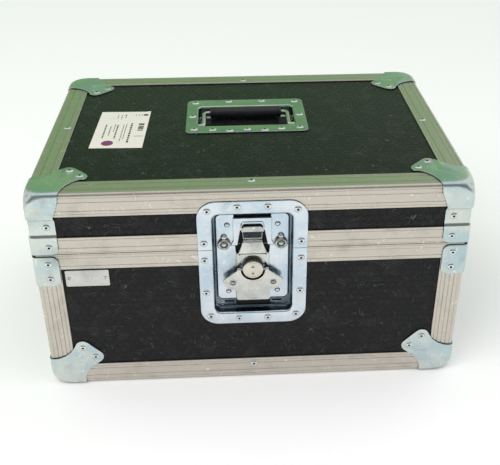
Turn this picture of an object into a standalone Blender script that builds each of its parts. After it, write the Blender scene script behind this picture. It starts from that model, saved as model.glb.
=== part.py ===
"""Flight case for stage equipment: plywood panels, aluminium edging, pressed steel corners,
a recessed butterfly latch on the front and a recessed bail handle on the lid.

Metres, +Z up, +X to the right, -Y to the front. Heights run up from the ground that the corner
caps stand on. Depth d runs inwards from the outer face of the edging.
"""
import math

import bmesh
import bpy
from mathutils import Vector

# ---- overall sizes, outside the edging
CASE_WIDTH = 0.500
CASE_DEPTH = 0.350
CASE_HEIGHT = 0.270
PARTING_HEIGHT = 0.192
# ---- sheet, panels and clearances
GAP = 0.0003
PANEL = 0.009
CAP_STEEL = 0.0015
DISH_STEEL = 0.0012
# ---- edging and rims
WALL = 0.0015
EDGING_LEG = 0.029
EDGING_RADIUS = 0.004
INNER_LEG = 0.024
EDGING_SETBACK = 0.022
RIM_BASE = 0.0207
RIM_LID = 0.0220
RIM_SETBACK = 0.003
TONGUE_HEIGHT = 0.005
TONGUE_HALF = 0.0015
TONGUE_TIP_HALF = 0.0009
GROOVE_CLEARANCE = 0.0012
GROOVE_WALL = 0.0010
# ---- pressed corners
BEND_RADIUS = 0.0055
BALL_RADIUS = 0.015
BALL_REACH = 0.024
CAP_ARM = 0.0395
LOBE_CENTRE = (0.0557, 0.0408)
LOBE_RADIUS = 0.0092
LOBE_STEP = (EDGING_LEG + 0.0016, EDGING_LEG + 0.0055)
BRACE_WIDTH = 0.0284
BRACE_HEIGHT = 0.040
BRACE_RADIUS = 0.008
LID_BRACE_WIDTH = 0.0305
LID_HEIGHT = CASE_HEIGHT - PARTING_HEIGHT
LID_BRACE_END = LID_HEIGHT - 0.0010
CRANK = (EDGING_LEG + 0.0015, EDGING_LEG + 0.0045, LID_HEIGHT - RIM_LID - 0.0050, LID_HEIGHT - RIM_LID - 0.0010)
LID_PANEL_SETBACK = 0.005
# ---- latch, its heights measured from the parting line
LATCH_HALF_WIDTH = 0.0628
LATCH_BELOW, LATCH_ABOVE = 0.1059, 0.0636
LATCH_RADIUS = 0.021
TRAY_HALF_WIDTH = 0.046
TRAY_BELOW, TRAY_ABOVE = 0.0900, 0.0465
TRAY_RADIUS = 0.008
CUT_CLEARANCE = 0.0003
CAM_BELOW = 0.0296
CAM_RADIUS = 0.012
CAM_FACE_DEPTH = 0.0002
CROSS_PIN_DEPTH = 0.0022
CROSS_PIN_RADIUS = 0.0012
KNUCKLE_SPAN = (0.0148, 0.0186)
WING_PLATE = 0.0018
WING_NOTCH_RADIUS = 0.0143
WING_TIP = (0.0355, 0.0159)
WING_SHOULDER = 0.0268
TAB_HALF_WIDTH = 0.0199
TAB_REACH = 0.0419
TAB_CORNER = 0.003
HOOK_HALF_WIDTH = 0.0189
HOOK_ARCH_RADIUS = 0.0192
HOOK_LIFT = 0.0075
HOOK_COVER_TOP = 0.0210
KEEPER_HALF_WIDTH = 0.022
KEEPER_ABOVE = (0.0015, 0.0376)
KEEPER_THICKNESS = 0.003
# ---- handle, centred across the lid
HANDLE_HALF = (0.0785, 0.0530)
HANDLE_CENTRE_Y = 0.0295
HANDLE_RADIUS = 0.008
WELL_RADIUS = 0.006
WELL_HALF = (0.0630, 0.0312)
WELL_DEPTH = 0.0160
BAIL_ROD = 0.0032
BAIL_HALF_SPAN = 0.0560
BAIL_LENGTH = 0.0425
BAIL_DEPTH = 0.0055
BAIL_BEND = 0.0080
BAIL_FOOT_BEND = 0.0040
BAIL_PIVOT_INSET = 0.0095
GRIP_RADIUS = 0.0072
GRIP_HALF_LENGTH = 0.0475
# ---- name plate, hinges and foam
PLATE_SIZE = (0.0502, 0.0222)
PLATE_INSET = (0.0039, 0.0022)
PLATE_THICKNESS = 0.0010
HINGE_X = 0.150
HINGE_WIDTH = 0.0765
HINGE_KNUCKLES = 5
KNUCKLE_RADIUS = 0.0031
KNUCKLE_WALL = 0.0014
HINGE_PIN_RADIUS = 0.00145
LEAF_HEIGHT = 0.0185
FOAM = 0.010
FOAM_CLEARANCE = 0.0010

PROUD = CAP_STEEL + GAP
PANEL_FACE = WALL + GAP
TRAY_DEPTH = PANEL_FACE + PANEL - DISH_STEEL - GAP
INNER_FACE = PANEL_FACE + PANEL + GAP
PANEL_EDGE = INNER_FACE + WALL + GAP
HALF = Vector((CASE_WIDTH / 2, CASE_DEPTH / 2, 0))
LOW = PROUD
HIGH = PROUD + CASE_HEIGHT
PARTING = PROUD + PARTING_HEIGHT
CAM_Z = PARTING - CAM_BELOW
FRONT = -CASE_DEPTH / 2
BACK = CASE_DEPTH / 2
HINGE_Y = BACK + KNUCKLE_RADIUS + GAP
HINGE_Z = PARTING + GAP / 2
CENTRE_SHIFT = -(HINGE_Y + KNUCKLE_RADIUS - (CASE_DEPTH / 2 + PROUD)) / 2
FLANGE_BACK = -GAP

MATERIALS = {
    "panel": ((0.015, 0.015, 0.017), 0.45, 0.0),
    "aluminium": ((0.62, 0.60, 0.56), 0.38, 1.0),
    "zinc": ((0.62, 0.67, 0.67), 0.30, 1.0),
    "dish": ((0.66, 0.72, 0.76), 0.22, 1.0),
    "brass_zinc": ((0.66, 0.58, 0.34), 0.35, 1.0),
    "grip": ((0.02, 0.02, 0.02), 0.75, 0.0),
    "foam": ((0.06, 0.06, 0.065), 0.95, 0.0),
    "nameplate": ((0.60, 0.59, 0.57), 0.45, 1.0),
}


def clear_scene():
    for obj in list(bpy.data.objects):
        bpy.data.objects.remove(obj, do_unlink=True)


def material(kind, name):
    colour, roughness, metallic = MATERIALS[kind]
    mat = bpy.data.materials.new(name)
    mat.use_nodes = True
    shader = mat.node_tree.nodes["Principled BSDF"]
    shader.inputs["Base Color"].default_value = (*colour, 1.0)
    shader.inputs["Roughness"].default_value = roughness
    shader.inputs["Metallic"].default_value = metallic
    mat.diffuse_color = (*colour, 1.0)
    return mat


def add_object(name, bm, kind, parent, origin=(0, 0, 0), smooth=None):
    """Make the bmesh an object whose origin is the given point; kind None makes a cutter."""
    bmesh.ops.remove_doubles(bm, verts=bm.verts, dist=1e-6)
    bmesh.ops.recalc_face_normals(bm, faces=bm.faces)
    bmesh.ops.translate(bm, verts=bm.verts, vec=-Vector(origin))
    mesh = bpy.data.meshes.new(name)
    bm.to_mesh(mesh)
    bm.free()
    obj = bpy.data.objects.new(name, mesh)
    bpy.context.scene.collection.objects.link(obj)
    obj.parent = parent
    obj.location = Vector(origin) - Vector(parent.get("origin", (0, 0, 0)) if parent else (0, 0, 0))
    if kind is None:
        obj.hide_render = True
        obj.display_type = "WIRE"
    else:
        mesh.materials.append(material(kind, name))
    if smooth:
        mesh.shade_smooth()
        mesh.set_sharp_from_angle(angle=math.radians(smooth))
    return obj


def add_pivot(name, origin, parent=None):
    """An empty on a joint's axis, or the frame that every piece hangs from."""
    empty = bpy.data.objects.new(name, None)
    bpy.context.scene.collection.objects.link(empty)
    above = Vector(parent["origin"]) if parent else Vector((0, 0, 0))
    empty.parent = parent
    empty.location = Vector(origin) - above
    empty["origin"] = tuple(origin)
    return empty


def cut(obj, cutter, operation="DIFFERENCE"):
    modifier = obj.modifiers.new(cutter.name, "BOOLEAN")
    modifier.operation = operation
    modifier.solver = "EXACT"
    modifier.object = cutter


def prism(bm, outline, axis, start, end):
    """Extrude an outline, given in the two other axes in X, Y, Z order, from start to end."""
    others = [i for i in range(3) if i != axis]
    verts = []
    for a, b in outline:
        place = [0.0, 0.0, 0.0]
        place[others[0]], place[others[1]], place[axis] = a, b, start
        verts.append(bm.verts.new(place))
    face = bm.faces.new(verts)
    made = bmesh.ops.extrude_face_region(bm, geom=[face])["geom"]
    shift = Vector((0, 0, 0))
    shift[axis] = end - start
    bmesh.ops.translate(bm, verts=[v for v in made if isinstance(v, bmesh.types.BMVert)], vec=shift)
    return bm


def block(low, high):
    return prism(bmesh.new(), [(low[0], low[1]), (high[0], low[1]), (high[0], high[1]),
                               (low[0], high[1])], 2, low[2], high[2])


def arc(centre, radius, start, end, steps):
    """Points on an arc, in degrees, both ends included."""
    points = []
    for i in range(steps + 1):
        angle = math.radians(start + (end - start) * i / steps)
        points.append((centre[0] + radius * math.cos(angle), centre[1] + radius * math.sin(angle)))
    return points


def rounded_rectangle(half_x, low_y, high_y, radius, steps=4):
    x, low, high = half_x - radius, low_y + radius, high_y - radius
    return (arc((x, low), radius, -90, 0, steps) + arc((x, high), radius, 0, 90, steps)
            + arc((-x, high), radius, 90, 180, steps) + arc((-x, low), radius, 180, 270, steps))


def cylinder(radius, axis, centre, start, end, sides=24):
    """A round bar along an axis; centre is given in the two other axes."""
    turn = 180 / sides
    ring = arc(centre, radius, turn, turn + 360 - 360 / sides, sides - 1)
    return prism(bmesh.new(), ring, axis, start, end)


# ---- extrusions
def edging_outline():
    """Double-angle section: u and v run inwards from the two outer faces."""
    inner, leaf = INNER_FACE, INNER_FACE + WALL
    bend = arc((EDGING_RADIUS, EDGING_RADIUS), EDGING_RADIUS, 270, 180, 4)
    half = [(WALL, EDGING_LEG), (WALL, 2 * WALL), (inner, inner + WALL), (inner, INNER_LEG), (leaf, INNER_LEG)]
    return ([(EDGING_LEG, 0)] + bend + [(0, EDGING_LEG)] + half + [(leaf, leaf)]
            + [(v, u) for u, v in reversed(half)])


def rim_outline(outer_end, wall_top, upward):
    """Rim section in depth and height: a channel for the panel, with a tongue or a groove."""
    centre = PANEL_FACE + PANEL / 2
    leaf = INNER_FACE + WALL
    if upward:
        top = PARTING
        key = [(centre - TONGUE_HALF, top), (centre - TONGUE_TIP_HALF, top + TONGUE_HEIGHT),
               (centre + TONGUE_TIP_HALF, top + TONGUE_HEIGHT), (centre + TONGUE_HALF, top)]
        channel = [(INNER_FACE, outer_end), (INNER_FACE, wall_top), (WALL, wall_top), (WALL, outer_end)]
    else:
        top = PARTING + GAP
        groove, roof = TONGUE_HALF + GROOVE_CLEARANCE, top + TONGUE_HEIGHT + GROOVE_CLEARANCE
        key = [(centre - groove, top), (centre - groove, roof), (centre + groove, roof), (centre + groove, top)]
        hump, over = groove + GROOVE_WALL, roof + WALL
        channel = [(INNER_FACE, outer_end), (INNER_FACE, wall_top), (centre + hump, wall_top),
                   (centre + hump, over), (centre - hump, over), (centre - hump, wall_top),
                   (WALL, wall_top), (WALL, outer_end)]
    return [(0, outer_end), (0, top)] + key + [(leaf, top), (leaf, outer_end)] + channel


def extrusion(name, axis, frame, outline, ends, splits, place, parent):
    """Draw a section along an axis. ends(u, v) gives how far each point stops from the two ends."""
    bm = bmesh.new()
    bm.faces.new([bm.verts.new((u, v, 0)) for u, v in outline])
    for split in splits:
        for normal in ((1, 0, 0), (0, 1, 0)):
            geom = bm.verts[:] + bm.edges[:] + bm.faces[:]
            bmesh.ops.bisect_plane(bm, geom=geom, dist=1e-7, plane_co=Vector(normal) * split,
                                   plane_no=normal)
    made = bmesh.ops.extrude_face_region(bm, geom=bm.faces[:])["geom"]
    far = {v for v in made if isinstance(v, bmesh.types.BMVert)}
    for vert in bm.verts:
        u, v = vert.co.x, vert.co.y
        low, high = ends(u, v)
        along = frame[1] - high if vert in far else frame[0] + low
        vert.co = place(u, v, along)
    return add_object(name, bm, "aluminium", parent)


def upright_ends(u, v):
    return max(u, v, EDGING_SETBACK) + GAP, 0.0


def bottom_ends(u, v):
    stop = max(u, v, EDGING_SETBACK) + GAP
    return stop, stop


def side_of(side, u, along, v):
    """Place a point of a horizontal piece: u in from the side's face, v its height."""
    if side in ("front", "back"):
        sign = -1 if side == "front" else 1
        return (along, sign * (HALF.y - u), v)
    sign = -1 if side == "left" else 1
    return (sign * (HALF.x - u), along, v)


def build_extrusions(base, lid):
    sides = {"front": HALF.x, "back": HALF.x, "left": HALF.y, "right": HALF.y}
    for side, half in sides.items():
        frame = (-half, half)
        extrusion(f"base_bottom_edging_{side}", 0, frame, edging_outline(), bottom_ends, [EDGING_SETBACK],
                  lambda u, v, s, side=side: side_of(side, u, s, LOW + v), base)

        def lid_ends(u, v):
            stop = max(u, EDGING_SETBACK) + GAP
            return stop, stop
        extrusion(f"lid_top_edging_{side}", 0, frame, edging_outline(), lid_ends, [EDGING_SETBACK],
                  lambda u, v, s, side=side: side_of(side, u, s, HIGH - v), lid)

        def rim_ends(u, v):
            stop = max(u, RIM_SETBACK) + GAP
            return stop, stop
        upper = rim_outline(PARTING - RIM_BASE, PARTING - WALL, True)
        lower = rim_outline(PARTING + RIM_LID, PARTING + GAP + WALL, False)
        place = lambda u, v, s, side=side: side_of(side, u, s, v)
        extrusion(f"base_rim_{side}", 0, frame, upper, rim_ends, [RIM_SETBACK], place, base)
        extrusion(f"lid_rim_{side}", 0, frame, lower, rim_ends, [RIM_SETBACK], place, lid)
    for corner, (sx, sy) in CORNERS.items():
        def place(u, v, s, sx=sx, sy=sy):
            return (sx * (HALF.x - u), sy * (HALF.y - v), s)
        extrusion(f"base_corner_edging_{corner}", 2, (LOW, PARTING - RIM_BASE - GAP), edging_outline(),
                  upright_ends, [EDGING_SETBACK], place, base)


CORNERS = {"front_left": (-1, -1), "front_right": (1, -1), "back_left": (-1, 1), "back_right": (1, 1)}


# ---- pressed corners
def smooth_step(value, start, end):
    t = min(max((value - start) / (end - start), 0.0), 1.0)
    return t * t * (3 - 2 * t)


def bend_corner(point, depth, crank):
    """Round a point of a sharp box corner, and sink it by its step, its crank and the sheet depth."""
    reach = smooth_step(max(point), 0.0, BALL_REACH)
    radius = BALL_RADIUS + (BEND_RADIUS - BALL_RADIUS) * reach
    centre = Vector([max(c, radius) for c in point])
    normal = (centre - Vector(point)).normalized()
    step = PROUD * smooth_step(sorted(point)[1], LOBE_STEP[0] + PROUD, LOBE_STEP[1] + PROUD)
    if crank:
        drop = point[2] - PROUD
        step += PROUD * (smooth_step(drop, *crank[:2]) - smooth_step(drop, *crank[2:]))
    return centre - normal * (radius - step - depth)


def lobed_petal():
    """Outline of a cap's face with two rivet lobes, measured from the two outer edges."""
    (far, near), r = LOBE_CENTRE, LOBE_RADIUS
    arm = [(CAP_ARM, 0.0), (CAP_ARM + 0.0008, 0.010), (CAP_ARM + 0.0045, 0.019), (CAP_ARM + 0.0105, 0.0265)]
    lobe = arc((far, near), r, -75, 50, 5)
    return arm + lobe + [(v, u) for u, v in reversed(lobe)] + [(v, u) for u, v in reversed(arm)]


def corner_piece(name, origin, signs, petals, cuts, parent, crank=None, kind="zinc"):
    """Fold petals around a box corner. Each petal is (first axis, second axis, outline)."""
    bm = bmesh.new()
    for first, second, outline in petals:
        verts = []
        for a, b in outline:
            place = [0.0, 0.0, 0.0]
            place[first], place[second] = a, b
            verts.append(bm.verts.new(place))
        bm.faces.new(verts)
    for axis, offsets in cuts.items():
        normal = Vector([float(i == axis) for i in range(3)])
        for offset in offsets:
            geom = bm.verts[:] + bm.edges[:] + bm.faces[:]
            bmesh.ops.bisect_plane(bm, geom=geom, dist=1e-7, plane_co=normal * offset, plane_no=normal)
    bmesh.ops.remove_doubles(bm, verts=bm.verts, dist=1e-6)
    bmesh.ops.triangulate(bm, faces=bm.faces[:])
    made = bmesh.ops.extrude_face_region(bm, geom=bm.faces[:], use_keep_orig=True)["geom"]
    inner = {v for v in made if isinstance(v, bmesh.types.BMVert)}
    for vert in bm.verts:
        folded = bend_corner(tuple(vert.co), CAP_STEEL if vert in inner else 0.0, crank)
        vert.co = Vector([signs[i] * (origin[i] - folded[i]) for i in range(3)])
    return add_object(name, bm, kind, parent, smooth=40)


def shifted(outline):
    """Outlines are measured from the edging's faces; a petal starts at the proud outer face."""
    return [(0.0, 0.0)] + [(a + PROUD if a else 0.0, b + PROUD if b else 0.0) for a, b in outline]


def build_corners(base, lid):
    bend_cuts = [0.002, 0.0045, 0.0080, 0.012, 0.018, BALL_REACH]
    step_cuts = [s + PROUD for s in (LOBE_STEP[0], sum(LOBE_STEP) / 2, LOBE_STEP[1])]
    lobed = shifted(lobed_petal())
    for corner, (sx, sy) in CORNERS.items():
        proud = (HALF.x + PROUD, HALF.y + PROUD)
        cap_cuts = {i: bend_cuts + step_cuts for i in range(3)}
        petals = [(0, 1, lobed), (0, 2, lobed), (1, 2, lobed)]
        corner_piece(f"base_corner_cap_{corner}", (*proud, -LOW + PROUD), (sx, sy, -1), petals, cap_cuts, base)

        r, w, h = BRACE_RADIUS, BRACE_WIDTH, BRACE_HEIGHT
        far = 1.0
        flat = [(0.0, far)] + arc((w - r + PROUD, far + r), r, -90, 0, 4)
        flat += arc((w - r + PROUD, far + h - r), r, 0, 90, 4) + [(0.0, far + h)]
        top = far + PARTING - 0.0025
        corner_piece(f"base_corner_brace_{corner}", (*proud, top), (sx, sy, 1), [(0, 2, flat), (1, 2, flat)],
                     {0: [0.002, 0.0055], 1: [0.002, 0.0055]}, base)

        w, end = LID_BRACE_WIDTH, LID_BRACE_END
        strap = [(0.0380, 0.0), (0.0368, 0.010), (w - 0.0010, EDGING_LEG), (w, CRANK[1] + 0.001)]
        strap += [(w, CRANK[3])] + arc((w - r, end - r), r, 0, 90, 4) + [(0.0, end)]
        side = shifted(strap)
        crank_cuts = [PROUD + (a * (3 - i) + b * i) / 3 for a, b in (CRANK[:2], CRANK[2:]) for i in range(4)]
        cuts = {0: bend_cuts + step_cuts, 1: bend_cuts + step_cuts, 2: bend_cuts + crank_cuts + [0.020]}
        petals = [(0, 1, lid_petal(lobed)), (0, 2, side), (1, 2, side)]
        corner_piece(f"lid_corner_{corner}", (*proud, HIGH + PROUD), (sx, sy, 1), petals, cuts, lid, CRANK)


def lid_petal(lobed):
    """The lid cap's top face: the lobed petal with its arms cut to meet the straps."""
    arm = 0.0380 + PROUD
    trimmed = [(arm if b == 0.0 and a else a, arm if a == 0.0 and b else b) for a, b in lobed]
    return trimmed


# ---- panels
def build_panels(base, lid):
    x_edge, y_edge = HALF.x - PANEL_EDGE, HALF.y - PANEL_EDGE
    x_face, y_face = HALF.x - PANEL_FACE, HALF.y - PANEL_FACE
    low, top = LOW + PANEL_FACE, PARTING - WALL - GAP
    panels = {"base_floor_panel": ((-x_edge, -y_edge, low), (x_edge, y_edge, low + PANEL))}
    wall_low = LOW + PANEL_EDGE
    for name, sy in (("front", -1), ("back", 1)):
        y = sorted((sy * y_face, sy * (y_face - PANEL)))
        panels[f"base_{name}_panel"] = ((-x_edge, y[0], wall_low), (x_edge, y[1], top))
    for name, sx in (("left", -1), ("right", 1)):
        x = sorted((sx * x_face, sx * (x_face - PANEL)))
        panels[f"base_{name}_panel"] = ((x[0], -y_edge, wall_low), (x[1], y_edge, top))
    lid_top = HIGH - PANEL_EDGE
    lid_low = PARTING + GAP + TONGUE_HEIGHT + GROOVE_CLEARANCE + WALL + GAP
    panels["lid_top_panel"] = ((-x_edge, -y_edge, HIGH - PANEL_FACE - PANEL), (x_edge, y_edge, HIGH - PANEL_FACE))
    wide, butt = HALF.x - LID_PANEL_SETBACK, HALF.y - INNER_FACE
    for name, sy in (("front", -1), ("back", 1)):
        y = sorted((sy * y_face, sy * (y_face - PANEL)))
        panels[f"lid_{name}_panel"] = ((-wide, y[0], lid_low), (wide, y[1], lid_top))
    for name, sx in (("left", -1), ("right", 1)):
        x = sorted((sx * x_face, sx * (x_face - PANEL)))
        panels[f"lid_{name}_panel"] = ((x[0], -butt, lid_low), (x[1], butt, lid_top))
    for name, (start, end) in panels.items():
        add_object(name, block(start, end), "panel", lid if name.startswith("lid") else base)


# ---- pressed dishes
def tub(loops, place):
    """Close a pressed dish: each loop is (outline, depth), and the first and last are capped."""
    bm = bmesh.new()
    rings = []
    for outline, depth in loops:
        rings.append([bm.verts.new(place(a, b, depth)) for a, b in outline])
    bm.faces.new(rings[0])
    bm.faces.new(rings[-1])
    for ring, following in zip(rings, rings[1:]):
        for i, vert in enumerate(ring):
            j = (i + 1) % len(ring)
            bm.faces.new((vert, ring[j], following[j], following[i]))
    return bm


def grown(outline, amount):
    """Move an outline with round corners outwards by an amount, from its centre lines."""
    count = len(outline)
    result = []
    for i, (x, y) in enumerate(outline):
        before, after = Vector(outline[i - 1]), Vector(outline[(i + 1) % count])
        here = Vector((x, y))
        first, second = (here - before).normalized(), (after - here).normalized()
        normal = Vector((first.y + second.y, -first.x - second.x)).normalized()
        scale = amount / max(normal.dot(Vector((first.y, -first.x))), 0.3)
        result.append((x + normal.x * scale, y + normal.y * scale))
    return result


def dish_loops(flange, opening, depth, steel, fillet):
    """Section of a dish from the flange's face round the inside and back under the flange."""
    floor = grown(opening, -fillet)
    return [(floor, depth), (grown(opening, -0.3 * fillet), depth - 0.3 * fillet), (opening, depth - fillet),
            (opening, 0.0008), (grown(opening, 0.0008), 0.0), (grown(flange, -0.0005), 0.0), (flange, 0.0004),
            (flange, steel), (grown(opening, steel), steel), (grown(opening, steel), depth - fillet),
            (grown(floor, 0.5 * steel), depth + steel)]


def split(bm, height, keep_above):
    geom = bm.verts[:] + bm.edges[:] + bm.faces[:]
    bmesh.ops.bisect_plane(bm, geom=geom, dist=1e-7, plane_co=(0, 0, height), plane_no=(0, 0, 1),
                           clear_inner=keep_above, clear_outer=not keep_above)
    edges = [e for e in bm.edges if e.is_boundary]
    bmesh.ops.holes_fill(bm, edges=edges, sides=0)
    return bm


def front_point(x, z, depth):
    return (x, FRONT + depth, z)


def build_latch_dishes(base, lid):
    flange = rounded_rectangle(LATCH_HALF_WIDTH, PARTING - LATCH_BELOW, PARTING + LATCH_ABOVE, LATCH_RADIUS)
    opening = rounded_rectangle(TRAY_HALF_WIDTH, PARTING - TRAY_BELOW, PARTING + TRAY_ABOVE, TRAY_RADIUS)
    face = FLANGE_BACK - DISH_STEEL
    loops = dish_loops(flange, opening, TRAY_DEPTH - face, DISH_STEEL, 0.003)

    def place(a, b, depth):
        return front_point(a, b, face + depth)
    lower = split(tub(loops, place), PARTING - GAP / 2, False)
    upper = split(tub(loops, place), PARTING + 1.5 * GAP, True)
    add_object("latch_lower_dish", lower, "dish", base, smooth=35)
    add_object("latch_upper_dish", upper, "dish", lid, smooth=35)
    hole = grown(opening, DISH_STEEL + CUT_CLEARANCE)
    reach = INNER_FACE - GAP / 2
    cutter = prism(bmesh.new(), hole, 1, FRONT - PANEL, FRONT + reach)
    obj = add_object("latch_cutter", cutter, None, base)
    for name in ("base_front_panel", "lid_front_panel", "base_rim_front", "lid_rim_front",
                 "lid_top_edging_front"):
        cut(bpy.data.objects[name], obj)


def build_keeper(lid):
    """Plate in the upper dish whose open arch the hook rises in."""
    w, low, high = KEEPER_HALF_WIDTH, *(PARTING + h for h in KEEPER_ABOVE)
    roof = PARTING + HOOK_COVER_TOP + HOOK_LIFT + 0.0025
    arch = [(0.0175, low), (0.0125, roof), (-0.0125, roof), (-0.0175, low)]
    outline = [(-w - 0.003, low), (-w, low + 0.006), (-w, high), (w, high), (w, low + 0.006), (w + 0.003, low)]
    back = FRONT + TRAY_DEPTH - GAP
    bm = prism(bmesh.new(), outline + arch, 1, back - KEEPER_THICKNESS, back)
    add_object("latch_keeper", bm, "dish", lid)


def build_hook(parent):
    """Bent hook: a front plate with an arch round the cam, a stepped cover and a curled lip."""
    w = HOOK_HALF_WIDTH
    low = CAM_Z + 0.003
    line = PARTING
    side = [(0.0066, low), (0.0048, low), (0.0048, line - 0.0095), (0.0028, line - 0.0085),
            (0.0028, line + 0.0075), (0.0040, line + 0.0090), (0.0064, line + 0.0098),
            (0.0064, line + 0.0200), (0.0030, line + 0.0218), (0.0022, line + 0.0245),
            (0.0030, line + 0.0260), (0.0044, line + 0.0252), (0.0056, line + 0.0225),
            (0.0086, line + HOOK_COVER_TOP), (0.0086, line + 0.0080), (0.0066, line + 0.0060)]
    outline = [(FRONT + d, z) for d, z in side]
    bm = prism(bmesh.new(), outline, 0, -w, w)
    hook = add_object("latch_hook", bm, "zinc", parent, parent["origin"])
    face = [(w, low), (w, line - 0.0110), (0.0165, line - 0.0085), (0.0108, line + 0.0083),
            (0.0118, line + 0.0200), (0.0100, line + 0.0280)]
    radius = HOOK_ARCH_RADIUS - 0.0020
    ends = math.degrees(math.asin((low - 0.001 - CAM_Z) / radius))
    hollow = arc((0.0, CAM_Z), radius, 180 - ends, ends, 10)
    shape = face + [(-x, h) for x, h in reversed(face)] + [(x, h) for x, h in hollow]
    shape = [(x, h - 0.001) if h == low else (x, h) for x, h in shape]
    cutter = add_object("hook_outline", prism(bmesh.new(), shape, 1, FRONT - 0.01, FRONT + 0.02), None,
                        parent, parent["origin"])
    cut(hook, cutter, "INTERSECT")


def build_cam(parent):
    centre = (0.0, CAM_Z)
    bm = bmesh.new()
    steps = [(CAM_RADIUS - 0.0012, CAM_FACE_DEPTH), (CAM_RADIUS, CAM_FACE_DEPTH + 0.0009),
             (CAM_RADIUS, TRAY_DEPTH - GAP)]
    sides = 24
    rings = [[bm.verts.new(front_point(x, z, depth)) for x, z in arc(centre, r, 0, 360 - 15, sides - 1)]
             for r, depth in steps]
    bm.faces.new(rings[0])
    bm.faces.new(rings[-1])
    for ring, following in zip(rings, rings[1:]):
        for i in range(sides):
            j = (i + 1) % sides
            bm.faces.new((ring[i], ring[j], following[j], following[i]))
    cam = add_object("latch_cam", bm, "brass_zinc", parent, parent["origin"], smooth=35)
    pin_place = (FRONT + CROSS_PIN_DEPTH, CAM_Z)
    pin = cylinder(CROSS_PIN_RADIUS, 0, pin_place, -KNUCKLE_SPAN[1], KNUCKLE_SPAN[1], 12)
    cut(cam, add_object("cam_cross_pin", pin, None, parent, parent["origin"]), "UNION")


def build_wing(parent):
    """Folding wing: a plate with two knuckles on the cam's cross pin."""
    z0 = CAM_Z
    tip_x, tip_z = WING_TIP
    half = [(KNUCKLE_SPAN[1], 0.0), (KNUCKLE_SPAN[1], -0.0010), (tip_x, -tip_z + 0.002), (tip_x, -tip_z - 0.001),
            (WING_SHOULDER + 0.0022, -0.0265), (TAB_HALF_WIDTH, -0.0275)]
    tab = arc((TAB_HALF_WIDTH - TAB_CORNER, -TAB_REACH + TAB_CORNER), TAB_CORNER, 0, -90, 3)
    right = half + tab
    notch = arc((0.0, 0.0), WING_NOTCH_RADIUS, 180, 360, 14)
    outline = right + [(-x, z) for x, z in reversed(right)] + notch
    bm = prism(bmesh.new(), [(x, z0 + z) for x, z in outline], 1, FRONT, FRONT + WING_PLATE)
    wing = add_object("latch_wing", bm, "zinc", parent, parent["origin"])
    place = (FRONT + CROSS_PIN_DEPTH, z0)
    for side in (-1, 1):
        start, end = sorted((side * (KNUCKLE_SPAN[0] - 0.0002), side * (KNUCKLE_SPAN[1] - 0.0003)))
        knuckle = cylinder(CROSS_PIN_DEPTH - 0.0001, 0, place, start, end, 16)
        cut(wing, add_object(f"wing_knuckle_{side + 1}", knuckle, None, parent, parent["origin"]), "UNION")
    bore = cylinder(CROSS_PIN_RADIUS + GAP, 0, place, -0.03, 0.03, 16)
    cut(wing, add_object("wing_bore", bore, None, parent, parent["origin"]))


# ---- handle
def lid_point(x, y, depth):
    return (x, y, HIGH - depth)


def build_handle(lid, fold):
    c = HANDLE_CENTRE_Y
    flange = rounded_rectangle(HANDLE_HALF[0], c - HANDLE_HALF[1], c + HANDLE_HALF[1], HANDLE_RADIUS, 3)
    wx, wy = WELL_HALF
    opening = rounded_rectangle(wx, c - wy, c + wy, WELL_RADIUS, 3)
    face = PANEL_FACE - GAP - DISH_STEEL
    loops = dish_loops(flange, opening, WELL_DEPTH, DISH_STEEL, 0.003)
    bm = tub(loops, lambda a, b, depth: lid_point(a, b, face + depth))
    add_object("handle_dish", bm, "dish", lid, smooth=35)
    hole = grown(opening, DISH_STEEL + CUT_CLEARANCE)
    cutter = prism(bmesh.new(), hole, 2, HIGH - 0.03, HIGH + 0.01)
    cut(bpy.data.objects["lid_top_panel"], add_object("handle_cutter", cutter, None, lid))

    curve = bpy.data.curves.new("handle_bail", "CURVE")
    curve.dimensions = "3D"
    curve.bevel_depth = BAIL_ROD
    curve.bevel_resolution = 2
    curve.use_fill_caps = True
    x, length, foot = BAIL_HALF_SPAN, BAIL_LENGTH, BAIL_FOOT_BEND
    half = [(WELL_HALF[0] - GAP, 0.0)] + arc((x + foot, foot), foot, 270, 180, 3)
    half += arc((x - BAIL_BEND, length - BAIL_BEND), BAIL_BEND, 0, 90, 4)
    route = half + [(-px, py) for px, py in reversed(half)]
    spline = curve.splines.new("POLY")
    spline.points.add(len(route) - 1)
    for point, (px, py) in zip(spline.points, route):
        point.co = (px, py, 0, 1)
    bail = bpy.data.objects.new("handle_bail", curve)
    bpy.context.scene.collection.objects.link(bail)
    bail.parent = fold
    curve.materials.append(material("zinc", "handle_bail"))
    pivot_y, pivot_z = fold["origin"][1:]
    ring = (pivot_y + length, pivot_z)
    grip = cylinder(GRIP_RADIUS, 0, ring, -GRIP_HALF_LENGTH, GRIP_HALF_LENGTH, 20)
    obj = add_object("handle_grip", grip, "grip", fold, fold["origin"], smooth=35)
    bore = cylinder(BAIL_ROD + GAP, 0, ring, -GRIP_HALF_LENGTH - 0.01, GRIP_HALF_LENGTH + 0.01, 16)
    cut(obj, add_object("grip_bore", bore, None, fold, fold["origin"]))


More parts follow.
